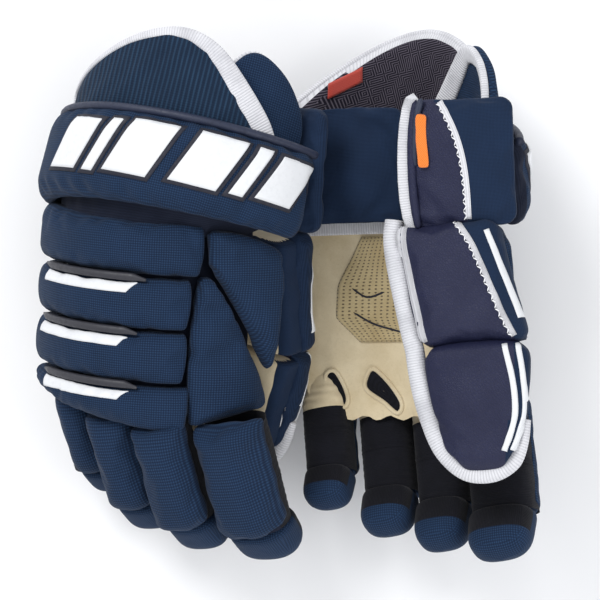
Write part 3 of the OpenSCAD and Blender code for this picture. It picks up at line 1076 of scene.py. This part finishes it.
def make_flap():
    x, y, z = FLAP_SIZE

    def paint(u, v):
        return "slate" if x / 2 - (x + 5) * u < flap_border(y * (v - 0.5)) else "navy_fine"

    corners = [(-x / 2, -y / 2 - 3), (x / 2 + 6, -y / 2 - 3), (x / 2 + 4, y / 2), (-x / 2, y / 2)]
    return pillow(
        lambda s, t, h: xyz(-s, t, -h), corners, z / 2 - 0.6, z / 2 - 0.5, 11, (0, 0, 0, 0), 9, 2.6, paint,
        seed=26, wrinkle=0.5).into(FLAP)


def make_pull_tab():
    """Webbing tab: a flat strap that hangs a little crumpled."""
    width, length, thick = TAB_SIZE
    y = np.linspace(0, -length, 18)
    sway = 0.7 * np.sin(y / 7.0) + 0.02 * y
    lift = 0.5 * np.sin(y / 5.0 + 1)
    line = xyz(TAB_AT[0] + sway, TAB_AT[1] + y, TAB_AT[2] - thick / 2 - 0.3 - lift)
    size = np.column_stack([np.r_[0.75, np.full(16, 1.0), 0.8], np.ones(18)])
    return tube(line, DOWN, oval(width, thick * 0.8, 14, 4), "orange", taper=size).into(FLAP)


# ---- Fingers -------------------------------------------------------------


# how far each finger pad reaches back past the knuckle, how much the cloth under it swells sideways, and
# how far down the finger the leather of the palm reaches
PAD_BACK = (3.0, 5.0, 8.0, 15.0)
SWELL = (0.30, 0.17, 0.06, 0.03)
NO_CREAM = 99
CREAM_TO = (-7, -3, -2, NO_CREAM)


def finger_pad(i):
    width, height, reach = FINGER_W[i] - SIDE_GAP, FINGER_H[i], FINGER_L[i]
    near, far = -reach + 1.2, PAD_BACK[i]
    seam = height - 13
    back, front = (math.tan(math.radians(curl / 2)) for curl in (KNUCKLE_CURL, MIDDLE_CURL))

    def surface(x, y, h):
        share = np.clip((y - near) / (2.2 - near), 0, 1)
        side = np.abs(x) / (width / 2)
        drop = np.where(x < 0, DROP_OUT[i], DROP_IN[i]) * side**2
        z = seam + h - drop - 2.5 * (1 - share) ** 2 - 0.02 * np.clip(y - 2, 0, None) ** 2
        return xyz(x, y + z * (back * share - front * (1 - share)), z)

    corners = [(-width / 2, near), (width / 2, near), (width / 2, far), (-width / 2, far)]
    return pillow(
        surface, corners, 12.3, 6, min(14.0, width * 0.42), (2, 0, 0, 0), 5, 2.4, seed=40 + i,
        wrinkle=0.55, crown=0.05).into(FINGER[i])


def digit_ring(half, low, high, n=28, power=2.6):
    """One closed ring (x, z) of a digit: flat-sided, round-cornered."""
    return round_box(n, power) * (half, (high - low) / 2) + (0, (low + high) / 2)


def sleeve(i, start, end, fold_at, cream_to):
    """Knitted tube of a finger, with cross folds near fold_at. Its palm side is
    leather down to cream_to."""
    width, height = FINGER_W[i] - SIDE_GAP, FINGER_H[i]
    ring = digit_ring(width / 2 - 1.3, 0.4, height - 8)
    y = np.linspace(start, end, max(10, int(abs(start - end) / 2)))
    rings = []
    for k, at in enumerate(y):
        palm = ring[:, 1] < height * 0.45
        fold = 0.9 * np.sin((at - fold_at) * 1.1 + ring[:, 0] * 0.15) * math.exp(-(((at - fold_at) / 9) ** 2))
        middle = np.array((0, (height - 8) / 2))
        r = middle + (ring - middle) * (1 - 0.03 * palm[:, None] * (k % 2))
        r[:, 1] += np.where(palm, fold - 0.8, 0)
        r[:, 0] *= 1 + SWELL[i] * np.clip(1.15 - r[:, 1] / height, 0, 1) * np.clip((12 - at) / 14, 0, 1)
        r[:, 1] = r[0, 1] + (r[:, 1] - r[0, 1]) * np.where(r[:, 1] > r[0, 1], 1 - 0.05 * max(0, at - 5), 1)
        rings.append(xyz(r[:, 0], at, r[:, 1]))

    def paint(row, column):
        high = math.sin(2 * math.pi * (column + 0.5) / len(ring))
        if high > 0.5:
            return "deep"
        return "cream" if high < -0.1 and y[row] > cream_to else "knit"

    around_it = np.linspace(0, 2 * (width + height), len(ring) + 1)
    return grid(rings, y, around_it, paint, wrap=True).into(FINGER[i])


def flat_uv(shape):
    """Cloth coordinates for a round end: the weave lies straight from above, the side or the front."""
    uv = []
    for face in shape.faces:
        p = shape.points[list(face)]
        third = len(p) // 3
        facing = int(np.argmax(np.abs(np.cross(p[third] - p[0], p[-third] - p[0]))))
        uv.append([tuple(q) for q in np.delete(p, facing, axis=1).tolist()])
    return uv


def finger_tip(i):
    """Closed end of a finger: a padded nylon cap whose palm side is knitted as far as its last third."""
    width, high, reach = FINGER_W[i] - SIDE_GAP, TIP_H[i], TIP_L[i]
    share = np.r_[np.linspace(0, 0.55, 9), 0.55 + 0.45 * np.sin(np.linspace(0, 1, 12)[1:] * math.pi / 2)]
    slant = math.tan(math.radians(MIDDLE_CURL / 2))
    rings = []
    n = 36
    for t in share:
        nose = max(1 - max(0, (t - 0.42) / 0.58) ** 2.6, 0.0) ** (1 / 2.6)
        root = 1 - 0.16 * max(0, 1 - t / 0.14) ** 2
        half = width / 2 * (1 - 0.08 * t) * max(nose, 0.03) * root
        low = 0.2 + (1 - nose) * high * 0.5
        top = (high - 0.5) * (1 - 0.10 * t)
        top = low + (top - low) * max(nose, 0.03) * root
        ring = digit_ring(half, low, top, n, 2.8)
        ring[:, 0] *= 1 + 0.6 * SWELL[i] * np.clip(1.15 - ring[:, 1] / FINGER_H[i], 0, 1)
        y = -JOINT_GAP / 2 - t * (reach + 1 - JOINT_GAP / 2) + ring[:, 1] * slant * (1 - t) ** 2
        drop = np.where(ring[:, 0] < 0, DROP_OUT[i], DROP_IN[i]) / 2 * (ring[:, 0] / (width / 2)) ** 2
        rings.append(xyz(ring[:, 0], y, ring[:, 1] - drop * (ring[:, 1] > high * 0.5)))

    def paint(row, column):
        on_palm = math.sin(2 * math.pi * (column + 0.5) / n) < -0.25
        return "knit" if on_palm and share[row] < 0.5 else "navy"

    tip = grid(rings, share * reach, np.arange(n + 1), paint, wrap=True, caps=True)
    tip.uv = flat_uv(tip)
    return tip.into(TIP[i])


# ---- Thumb, in its own frame, with the padding on top ----------------------

THUMB_SEAM = THUMB_H - 13


def thumb_border(y):
    """Where the leather of the thumb meets the nylon of its outer side."""
    return np.interp(-y, (-8, 0, 8, 25, 50, 70), (-4, -9, -12, -16, -21, -27))


def thumb_skew(y):
    """How far the root of the thumb leans over the palm."""
    return 9 * np.clip((np.asarray(y) + THUMB_L) / THUMB_L, 0, 1.1)


def thumb_surface(x, y, h):
    return xyz(x + thumb_skew(y), y, THUMB_SEAM + h - 0.0022 * x**2)


def make_thumb_pad():
    half = THUMB_W / 2
    near, far = -THUMB_L + THUMB_GAP / 2 - 1, 10

    def paint(u, v):
        return "slate" if THUMB_W * (u - 0.5) > thumb_border(near + (far - near) * v) else "navy_fine"

    corners = [(-half + 3, near), (half - 3, near), (half, far), (-half + 8, far)]
    return pillow(
        thumb_surface, corners, 13, 6, 13, (0, 0.5, 0, 0), 10, 2.7, paint, seed=61, wrinkle=0.4, power=2.4)


def make_thumb_tip():
    near, far = -THUMB_TIP_L, 6

    def paint(u, v):
        return "slate" if u > 0.24 - 0.1 * v else "navy_fine"

    def surface(x, y, h):
        dip = 2 * np.clip(-y / THUMB_TIP_L, 0, 1) + 0.22 * np.clip(y + 2.5, 0, None) ** 2
        return thumb_surface(x - thumb_skew(y), y, h - dip)

    corners = [(-21, near + 4), (21, near + 4), (THUMB_W / 2 - 4, far), (-THUMB_W / 2 + 4, far)]
    return pillow(
        surface, corners, 12.5, 6, 13, (4, 3, 0, 3), 17, 2.7, paint, seed=62, wrinkle=0.4, power=2.4)


def thumb_sleeve(widths, start, end, cream_from, close=False):
    """Soft underside of the thumb: leather towards the palm and beyond cream_from, nylon elsewhere."""
    y = np.linspace(start, end, 26)
    around_it = 40
    rings = []
    for k, at in enumerate(y):
        t = k / (len(y) - 1)
        half = np.interp(t, (0, 1), widths) / 2 - 1.5
        if close:
            half = half * (1 - 0.9 * max(0, (t - 0.8) / 0.2) ** 3)
        high = THUMB_SEAM + 3 - 0.0022 * half**2
        ring = digit_ring(half, 0.3, high, around_it, 4.2)
        ring[:, 0] += 2.0 * (1 - ring[:, 1] / high) * (ring[:, 0] > 0)
        if not close:
            ring[:, 0] *= np.where(ring[:, 0] < 0, 1 - 0.22 * (1 - t), 1)
        fold = 0.5 * ripple(ring[:, 1], at, 64)
        lean = thumb_skew(at) if not close else 0
        rings.append(xyz(ring[:, 0] + fold + lean, at, ring[:, 1]))

    def paint(row, column):
        a = 2 * math.pi * (column + 0.5) / around_it
        leather = math.cos(a) > 0.5 or (math.cos(a) > -0.55 and y[row] < cream_from)
        return "cream" if leather else "navy_fine"

    return grid(rings, y, np.linspace(0, 190, around_it + 1), paint, wrap=True, caps=True)


def stripe(skin, line, width, thickness=0.7, material="white"):
    """A narrow strip laid on a pad along a line of (x, y)."""
    line = curve(line, 36)
    flat = line + np.linspace(-0.5, 0.5, 4)[:, None, None] * width * square_to(line)
    spots, normals = skin.drop(xyz(flat[..., 0], flat[..., 1], 60.0), DOWN, 60)
    return patch(spots, normals, thickness, material), (spots.mean(0), unit(normals.mean(0)))


def lay(skin, m, centre, reference, s, y, thickness, material):
    """A thin piece of trim laid on an arched pad. s runs along the arch, in mm at the reference radius."""
    degrees = np.degrees(s / reference)
    points = moved(m, arch(centre, reference + 12, degrees, y))
    inward = moved(m, arch(centre, reference, degrees, y)) - points
    spots, normals = skin.drop(points, inward, 14)
    return patch(spots, normals, thickness, material)


def bar(skin, left, right, low, high, slant, grow, thickness, material):
    """A slanted bar sewn on the cuff, grown by grow all round."""
    y = np.linspace(low - grow, high + grow, 16)[:, None]
    lean = slant * (2 * (y - low) / (high - low) - 1)
    s = lean + np.linspace(left - grow * 1.15, right + grow * 1.15, max(5, int(right - left)))[None, :]
    return lay(skin, CUFF, (0, 0), CUFF_R, s, np.broadcast_to(y, s.shape), thickness, material)


# where the bars lie along the arch of the cuff, and how far up it: a generic mark
BARS = [(-63, -37, -9, 24), (-29, -21, -9, 26), (-13, 17, -7, 28), (31, 61, -5, 29), (69, 78, -4, 29),
        (86, 112, -2, 28)]


def make_bars(skin):
    backs = [bar(skin, a, b, low, high, 7, 2.4, 0.7, "outline") for a, b, low, high in BARS]
    fronts = [bar(skin, a, b, low, high, 7, 0, 1.6, "white") for a, b, low, high in BARS]
    return joined(backs), joined(fronts)


def make_cuff_label():
    """Plain red label sewn to the lining of the flare, near its outer end."""
    x, y = np.meshgrid(np.linspace(-80, -64, 8), np.linspace(0, 10, 6))
    y = y + 50 + 0.55 * (x + 80)
    under = flare_point(DOME_R, x, y, FLARE_T + 3.6)[0]
    over = flare_point(DOME_R, x, y, FLARE_T + 4.6)[0]
    return patch(under, unit(over - under), 0.5, "red").into(CUFF)


def make_cuff_welt():
    """Round piping along the top seam of the cuff."""
    t = np.linspace(0.02, 0.98, 80)
    degrees = CUFF_ENDS[0] + (CUFF_ENDS[1] - CUFF_ENDS[0]) * t
    y = CUFF_SHIFT + CUFF_LEN / 2 - 6.5 + 8 * t + 8 * t * (1 - t)
    line = arch((0, 0), CUFF_R - 5.5, degrees, y)
    return tube(line, outward(degrees), oval(5.5, 6.0), "piping_navy").into(CUFF)


def make_side_tab():
    """Small folded tab at the little finger end of the cuff."""
    degrees = np.linspace(CUFF_ENDS[0] - 2.5, CUFF_ENDS[0] + 1, 6)
    line = arch((0, 0), CUFF_R - 7, degrees, 6.0)
    return tube(line, outward(degrees), oval(30, 4, 16, 4), "outline").into(CUFF)


def make_pipings():
    """Charcoal piping in the creases above rolls 2, 3 and 4."""
    made = []
    for number, start, end in ((2, -50, 15), (3, -54, 12), (4, -47, 13)):
        degrees = np.linspace(start, end, 50)
        y = roll_ends_y(number)[1] + 0.9 - 1.6 * np.clip((degrees - end + 6) / 6, 0, 1)
        line = arch(HAND_C, HAND_R - 3.4, degrees, y)
        size = round_ends(50, 2, 2, 8, 0.35)
        made.append(tube(line, outward(degrees), oval(5.0, 4.6, 14, 2.6), "rubber", taper=size))
    return joined(made)


def make_accents(skins):
    """White vinyl accents just below the pipings."""
    made = []
    for number, start, end in ((2, -46, 11), (3, -50, 8), (4, -43, 9)):
        top = roll_ends_y(number)[1] - 1.4
        rows = np.linspace(0, 1, 6)[:, None]
        left = around(HAND_R, start) + 4.5 * (1 - rows)
        right = around(HAND_R, end) - 6.5 * (1 - rows)
        s = left + (right - left) * np.linspace(0, 1, 44)[None, :]
        y = np.broadcast_to(top - 7.4 * (1 - rows), s.shape)
        made.append(lay(skins[number], SAME, HAND_C, HAND_R, s, y, 0.9, "white"))
    return joined(made)


# ---- Trim of the thumb ----------------------------------------------------


def thumb_edge():
    """Middle line of the binding: down the palm side of the thumb, round its end and up the outer side."""
    bend = np.tan(math.radians(THUMB_TIP_CURL))
    line = curve([(37, 14), (40.5, -6), (40.5, -40), (39.5, -68), (37.5, -92), (33, -114), (25.5, -134),
                  (12, -147.5), (-4, -149.5), (-17, -143), (-24, -131), (-28, -118)], 110)
    z = 23.5 - np.clip(-70 - line[:, 1], 0, None) * bend * 0.6
    line[:, 0] += thumb_skew(line[:, 1])
    return line, z


def make_thumb_binding(skins):
    line, z = thumb_edge()
    size = np.ones(len(line))
    size[-14:] = np.linspace(1, 0.45, 14)
    roll = tube(np.column_stack([line, z]), (0.25, 0, 1.0), oval(12.5, 11.5, 20), "tape", taper=size)
    inward = side_facing(line, (4, -70))
    bands, threads = [], []
    for skin, keep in ((skins[0], line[:, 1] > -69), (skins[1], line[:, 1] < -72)):
        inner = (line + inward * 7.4)[keep][: None if skin is skins[0] else -12]
        made, (spots, up) = stripe(skin, inner, 7.0, 0.6, "tape")
        bands.append(made)
        threads.append(stitches(spots + up * 0.75, up, "thread_navy", 2.2, 2.4, 0.25))
    return joined([roll, *bands]), joined(threads)


def zigzag_band(skin, line, side):
    """White tape with a zigzag seam along one edge."""
    band, (spots, up) = stripe(skin, line, 3.6, 0.6, "tape")
    ahead = unit(np.gradient(spots, axis=0))
    shift_by = np.cross(up, ahead) * 2.0 * side
    seam = stitches(spots + shift_by + up * 0.4, up, "thread_white", 2.4, 0.5, 0.42, zigzag=0.9)
    return joined([band, seam])


def make_thumb_seam(skin):
    line = [(thumb_border(y) + thumb_skew(y), y) for y in np.linspace(8, -66, 14)]
    return zigzag_band(skin, line, 1)


# lines and widths of the pale stripes
THUMB_STRIPE = ([(-13, 1), (-17, -12), (-23.5, -34), (-30, -55)], 3.2)
TIP_STRIPES = [
    ([(-19, 0), (-22.5, -25), (-21.5, -46), (-14, -66)], 3.4),
    ([(-27, 0), (-28.5, -22), (-27.5, -44), (-19, -66)], 3.0),
]


# ---- Trim of the palm side ------------------------------------------------


def palm_row(y):
    """Left and right edge of the palm leather at y."""
    left = np.interp(y, (-78, -54, 46), (-74, -80, -80))
    right = np.interp(y, (-78, -66, -20, 20, 46), (14, 20, 12, 16, 12))
    return left, right


def make_palm():
    y = np.linspace(47, -78, 50)
    rows = []
    for at in y:
        left, right = palm_row(at)
        x = np.linspace(left, right + 8, 40)
        low = max(0.0, -56 - at) * 0.16 + (1.2 * np.sin(x * 0.9) if at < -76 else 0)
        wave = 0.7 * ripple(x * 0.8, at, 71)
        edge = np.clip((x - right) / 8, 0, 1)
        z = palm_height(x) - 0.6 + wave * np.clip((50 - abs(at)) / 10, 0, 1) + edge**2 * 4 - low
        rows.append(xyz(x, at - (1.5 * np.sin(x * 0.35) if at < -70 else 0), z))
    return grid(rows, 47 - y, np.linspace(0, 100, 40), "cream")


def drop_on_palm(skin, x, y, off=0.0):
    """Places on the palm leather at x and y, found from below, and the normals there."""
    return skin.drop(xyz(x, y, palm_height(x) - 20.9), UP, 20, off)


def make_palm_overlay(skin):
    """Perforated leather patch over the middle of the palm, sewn on."""
    rows = np.linspace(0, 1, 26)[:, None]
    y = 42 - 70 * rows
    left = np.interp(y, (-30, -12, 10, 42), (-40, -58, -56, -38))
    right = np.interp(y, (-30, -22, 10, 42), (0, 2, 4, -5))
    x = left + (right - left) * np.linspace(0, 1, 26)[None, :]
    spots, normals = drop_on_palm(skin, x, y)
    edge, up = (np.concatenate([each[:, -1], each[-1, ::-1]]) for each in (spots, normals))
    seam = stitches(edge - (1.2, -0.6, 0) + up * 1.2, up, "thread_tan", 2.0, 1.6, 0.28)
    return patch(spots, normals, 1.0, "tan"), seam


def palm_seam(skin, line):
    """Dark seam on the perforated patch."""
    line = curve(line, 40)
    spots, normals = drop_on_palm(skin, line[:, 0], line[:, 1], 1.0)
    return tube(spots, normals, oval(1.3, 1.3), "outline", taper=round_ends(40, 1, 0, 4, 0.3))


SEAMS = [[(-46, 8), (-36, 2), (-24, 5)], [(-46, -8), (-32, -16), (-10, -22)]]
SLOTS = [
    [(-67, -50), (-60, -47), (-52, -64), (-55, -71), (-63, -66)],
    [(-40, -53), (-33, -46), (-15, -66), (-17, -75), (-27, -68), (-39, -60)],
]


def slot(skin, outline):
    """A hole in the palm: its dark inside, and the curled rim of the leather."""
    edge = curve(outline, 40, closed=True)[:-1]
    middle = edge.mean(0)
    flat = middle + (edge - middle) * np.linspace(0.02, 1, 6)[:, None, None]
    spots, normals = drop_on_palm(skin, flat[..., 0], flat[..., 1], 0.35)
    inside = grid(spots, np.linspace(0, 5, 6), np.linspace(0, 60, len(edge) + 1), "knit", wrap=True)
    rim = tube(spots[-1], normals[-1], oval(3.0, 2.8), "cream", closed=True)
    return joined([inside, rim])


def make_wrist_tape():
    """Ribbed tape that binds the top edge of the palm."""
    x = np.linspace(-82, 24, 60)
    return tube(xyz(x, 49.5, palm_height(x) - 1.6), DOWN, oval(12, 3.4, 18, 4), "tape")


TURNED_FLAP = FLAP @ turn("Y", 180)


def flap_skin():
    """The flap's surface in a frame that lies on its outer face, X towards the middle of the wrist."""
    return Skin(carried(meshes["thumb_side_cuff"], np.linalg.inv(TURNED_FLAP)))


def make_flap_seam():
    return zigzag_band(flap_skin(), [(-flap_border(y), y) for y in np.linspace(-37, 37, 12)], -1)


TAPE_LINE = [(31, 44, 2.0), (36, 24, 3.0), (38, 0, 3.0), (38, -24, 3.0), (34, -46, 3.0)]


def make_flap_fold():
    """The folded cloth end over the pull tab, and the welt beside it."""
    fold = [(29, 40, 5.2), (33, 22, 5.6), (34, 0, 5.6), (34, -22, 5.6), (31, -45, 5.0)]
    welt = [(25.5, 40, 6.4), (28.5, 33, 6.6), (30.5, 20, 6.4), (31.5, 8, 6.0), (31.5, -4, 5.4)]
    return joined([
        tube(fold, UP, oval(5.5, 4.6, 14), "slate"),
        tube(welt, UP, oval(4.6, 4.4, 14), "piping_navy")])


# ---- Make every mesh ------------------------------------------------------

pads = {
    **make_rolls(),
    **make_side_pads(),
    "cuff_roll": make_cuff_roll(),
    "wrist_panel": make_wrist_panel(),
    "thumb_side_cuff": make_flap(),
    **{f"{finger}_pad": finger_pad(i) for i, finger in enumerate(FINGERS)},
    "thumb_pad": make_thumb_pad(),
    "thumb_tip": make_thumb_tip(),
}
inflate(list(pads.values()))
meshes = {name: mesh_from(name, shape, 1) for name, shape in pads.items()}
skins = {name: Skin(data) for name, data in meshes.items()}
rounded = {
    "hand_shell": make_shell(),
    "cuff_flare": make_dome(),
    "thumb_side_flare": make_side_flare(),
    "pull_tab": make_pull_tab(),
    "thumb_sleeve": thumb_sleeve((THUMB_W - 8, THUMB_W - 10), 6, -THUMB_L + 1.5, -38),
    "thumb_end_sleeve": thumb_sleeve((THUMB_W - 10, 42), -1.5, -THUMB_TIP_L + 3, 99, True),
}
for i, finger in enumerate(FINGERS):
    reach = FINGER_L[i]
    rounded[f"{finger}_tip"] = finger_tip(i)
    rounded[f"{finger}_sleeve"] = sleeve(i, 14, -reach / 2 - 3, 2, CREAM_TO[i])
    rounded[f"{finger}_end_sleeve"] = sleeve(i, -reach / 2, -reach - 6, -reach, NO_CREAM)
for name, shape in rounded.items():
    meshes[name] = mesh_from(name, shape, 1)
plain = {
    "wrist_gusset": make_gusset(),
    "liner": make_liner(),
    "cuff_lining": make_cuff_lining(),
    "palm": make_palm(),
}
for name, shape in plain.items():
    meshes[name] = mesh_from(name, shape)
on_the_palm = Skin(meshes["palm"])

bars_back, bars = make_bars(skins["cuff_roll"])
overlay, overlay_thread = make_palm_overlay(on_the_palm)
thumb_binding, thumb_thread = make_thumb_binding((skins["thumb_pad"], skins["thumb_tip"]))
ROLL_TRIM = {
    "roll_piping": (make_pipings(), "slate_leather"),
    "roll_accents": (make_accents({n: skins[f"roll_{n}"] for n in (2, 3, 4)}), "navy_nylon"),
}
PALM_TRIM = {
    "palm_overlay": (overlay, "palm_leather"),
    "palm_thread": (overlay_thread, "palm_leather"),
    "palm_seams": (joined([palm_seam(on_the_palm, line) for line in SEAMS]), "palm_leather"),
    "palm_slots": (joined([slot(on_the_palm, outline) for outline in SLOTS]), "palm_leather"),
    "wrist_tape": (make_wrist_tape(), "navy_nylon"),
}
CUFF_TRIM = {
    "cuff_mark_backs": (bars_back, "navy_nylon"),
    "cuff_marks": (bars, "navy_nylon"),
    "cuff_welt": (make_cuff_welt(), "navy_nylon"),
    "cuff_side_tab": (make_side_tab(), "navy_nylon"),
    "cuff_label": (make_cuff_label(), "lining"),
    "flare_binding": (edge_binding(DOME_R, DOME_ROOT, DOME_LINE, DOME_TAPE, 5.0, 2.6), "lining"),
    "side_flare_binding": (edge_binding(SIDE_R, SIDE_ROOT, SIDE_LINE, SIDE_TAPE, 5.0, 9.2), "lining"),
}
FLAP_TRIM = {
    "flap_seam": (make_flap_seam(), "slate_leather"),
    "flap_edge_tape": (tube(TAPE_LINE, UP, oval(11, 4, 18, 4), "tape"), "lining"),
    "flap_fold": (make_flap_fold(), "slate_leather"),
}
THUMB_TRIM = {
    "thumb_seam": (make_thumb_seam(skins["thumb_pad"]), "slate_leather"),
    "thumb_stripe": (stripe(skins["thumb_pad"], *THUMB_STRIPE)[0], "slate_leather"),
}
THUMB_END_TRIM = {
    "thumb_tip_stripes": (
        joined([stripe(skins["thumb_tip"], *each)[0] for each in TIP_STRIPES]), "slate_leather"),
}
BINDING_TRIM = {
    "thumb_binding": (thumb_binding, "lining"),
    "thumb_thread": (thumb_thread, "lining"),
}
for group in (ROLL_TRIM, PALM_TRIM, CUFF_TRIM, FLAP_TRIM, THUMB_TRIM, THUMB_END_TRIM, BINDING_TRIM):
    for name, (shape, _) in group.items():
        meshes[name] = mesh_from(name, shape, 1 if name in ("flap_fold", "flap_edge_tape") else 0)


# ---- Put the gloves together ----------------------------------------------


def finish_piece(side, piece, slot_name, replaced):
    if replaced:
        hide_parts(*(f"{side}_{r}" for r in replaced))
    return piece


def put(side, name, body, slot_name, *replaced, m=SAME):
    """A piece that is stiff enough to go with one body."""
    piece = place(side, name, meshes[name], m)
    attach(piece, f"{side}_{body}")
    return finish_piece(side, piece, slot_name, replaced)


def put_bending(side, name, bodies, fold, fold_frame, slot_name, *replaced, m=SAME):
    """A soft piece that lies across the joint between two bodies, set on the glove with its transform baked
    in. bodies is not used, and the two points of fold are worked out but not used.
    """
    piece = place(side, name, meshes[name], m)
    start, end = (tuple(p) for p in (moved(GLOVE[side] @ fold_frame, fold) * MM).tolist())
    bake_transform(piece)
    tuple(start)
    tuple(end)
    return finish_piece(side, piece, slot_name, replaced)


def put_trim(side, trim, body, m=SAME):
    """All the pieces of a table of trim, on one body."""
    return [put(side, name, body, slot_name, m=m) for name, (_, slot_name) in trim.items()]


for side in SIDES:
    for name in ("roll_1", "roll_2", "roll_3", "roll_4", "web_pad", "thumb_back_pad"):
        put(side, name, "hand", "navy_nylon", name)
    put(side, "hand_shell", "hand", "navy_nylon")
    put(side, "liner", "hand", "lining", "liner")
    put_trim(side, ROLL_TRIM, "hand")
    on_it = put_trim(side, PALM_TRIM, "hand")
    palm = put(side, "palm", "hand", "palm_leather", "palm")

    put(side, "cuff_roll", "cuff", "navy_nylon", "cuff_roll")
    put(side, "cuff_flare", "cuff", "navy_nylon", "cuff_flare", "cuff_insert")
    put(side, "thumb_side_flare", "cuff", "navy_nylon", "thumb_side_flare")
    put(side, "cuff_lining", "cuff", "lining")
    gusset = put_bending(
        side, "wrist_gusset", ("hand", "cuff"), ((-25, 44, 60), (-25, 60, 60)), SAME, "navy_nylon")
    put(side, "wrist_panel", "cuff", "navy_nylon", "wrist_panel")
    put(side, "thumb_side_cuff", "cuff", "slate_leather", "thumb_side_cuff")
    put(side, "pull_tab", "tab", "tab_webbing", "pull_tab")
    put_trim(side, CUFF_TRIM, "cuff")
    put_trim(side, FLAP_TRIM, "cuff", TURNED_FLAP)

    for i, finger in enumerate(FINGERS):
        put(side, f"{finger}_pad", finger, "navy_nylon", f"{finger}_pad")
        put(side, f"{finger}_tip", f"{finger}_end", "navy_nylon", f"{finger}_tip")
        reach = FINGER_L[i]
        lower = put_bending(
            side, f"{finger}_sleeve", ("hand", finger), ((0, 8, 10), (0, -8, 10)), FINGER[i],
            "stretch_fabric", f"{finger}_sleeve")
        upper = put_bending(
            side, f"{finger}_end_sleeve", (finger, f"{finger}_end"),
            ((0, 6 - reach, 10), (0, -6 - reach, 10)), FINGER[i], "stretch_fabric")

    # the thumbs lie at different angles, so each is put in its own frame
    base, end = THUMB[side], THUMB_END[side]
    put(side, "thumb_pad", "thumb", "slate_leather", "thumb_pad", m=base)
    put(side, "thumb_tip", "thumb_end", "slate_leather", "thumb_tip", m=end)
    put(side, "thumb_sleeve", "thumb", "palm_leather", "thumb_sleeve", m=base)
    put(side, "thumb_end_sleeve", "thumb_end", "palm_leather", m=end)
    put_trim(side, THUMB_TRIM, "thumb", base)
    put_trim(side, THUMB_END_TRIM, "thumb_end", end)
    fold = (0, 10 - THUMB_L, 20), (0, -12 - THUMB_L, 20)
    for name, (_, slot_name) in BINDING_TRIM.items():
        put_bending(side, name, ("thumb", "thumb_end"), fold, base, slot_name, m=base)


# ---- Floor, light and camera -----------------------------------------------

low, high = (Vector(c) for c in CAD_BOX)
bpy.ops.mesh.primitive_plane_add(size=12, location=(0, 0.5, low.z))
floor = bpy.context.object
floor.name = "floor"
floor.data.materials.append(Nodes("pale_floor", (0.86, 0.86, 0.87), 0.9).material)


def lamp(name, at, to, size, power):
    light = bpy.data.lights.new(name, "AREA")
    light.shape, light.size, light.energy = "DISK", size, power
    lit = add_object(name, light)
    lit.location = at
    lit.rotation_euler = (Vector(to) - Vector(at)).to_track_quat("-Z", "Y").to_euler()


lamp("key", (-0.9, 1.1, 1.5), (0, 0, 0.05), 0.9, 26)
lamp("fill", (1.3, -0.4, 1.4), (0, 0, 0.05), 1.4, 12)
lamp("front", (0.1, -1.5, 0.9), (0, 0, 0.05), 1.2, 8)
world = bpy.data.worlds.new("studio")
world.use_nodes = True
sky = world.node_tree.nodes["Background"].inputs
sky["Color"].default_value = (0.95, 0.97, 1.0, 1)
sky["Strength"].default_value = 0.75
bpy.context.scene.world = world

camera = bpy.data.cameras.new("camera")
camera.lens = 139.8
scene_camera = add_object("camera", camera)
scene_camera.location = (0.0079, -0.0030, 1.6)
bpy.context.scene.camera = scene_camera
bpy.context.scene.view_settings.view_transform = "Standard"
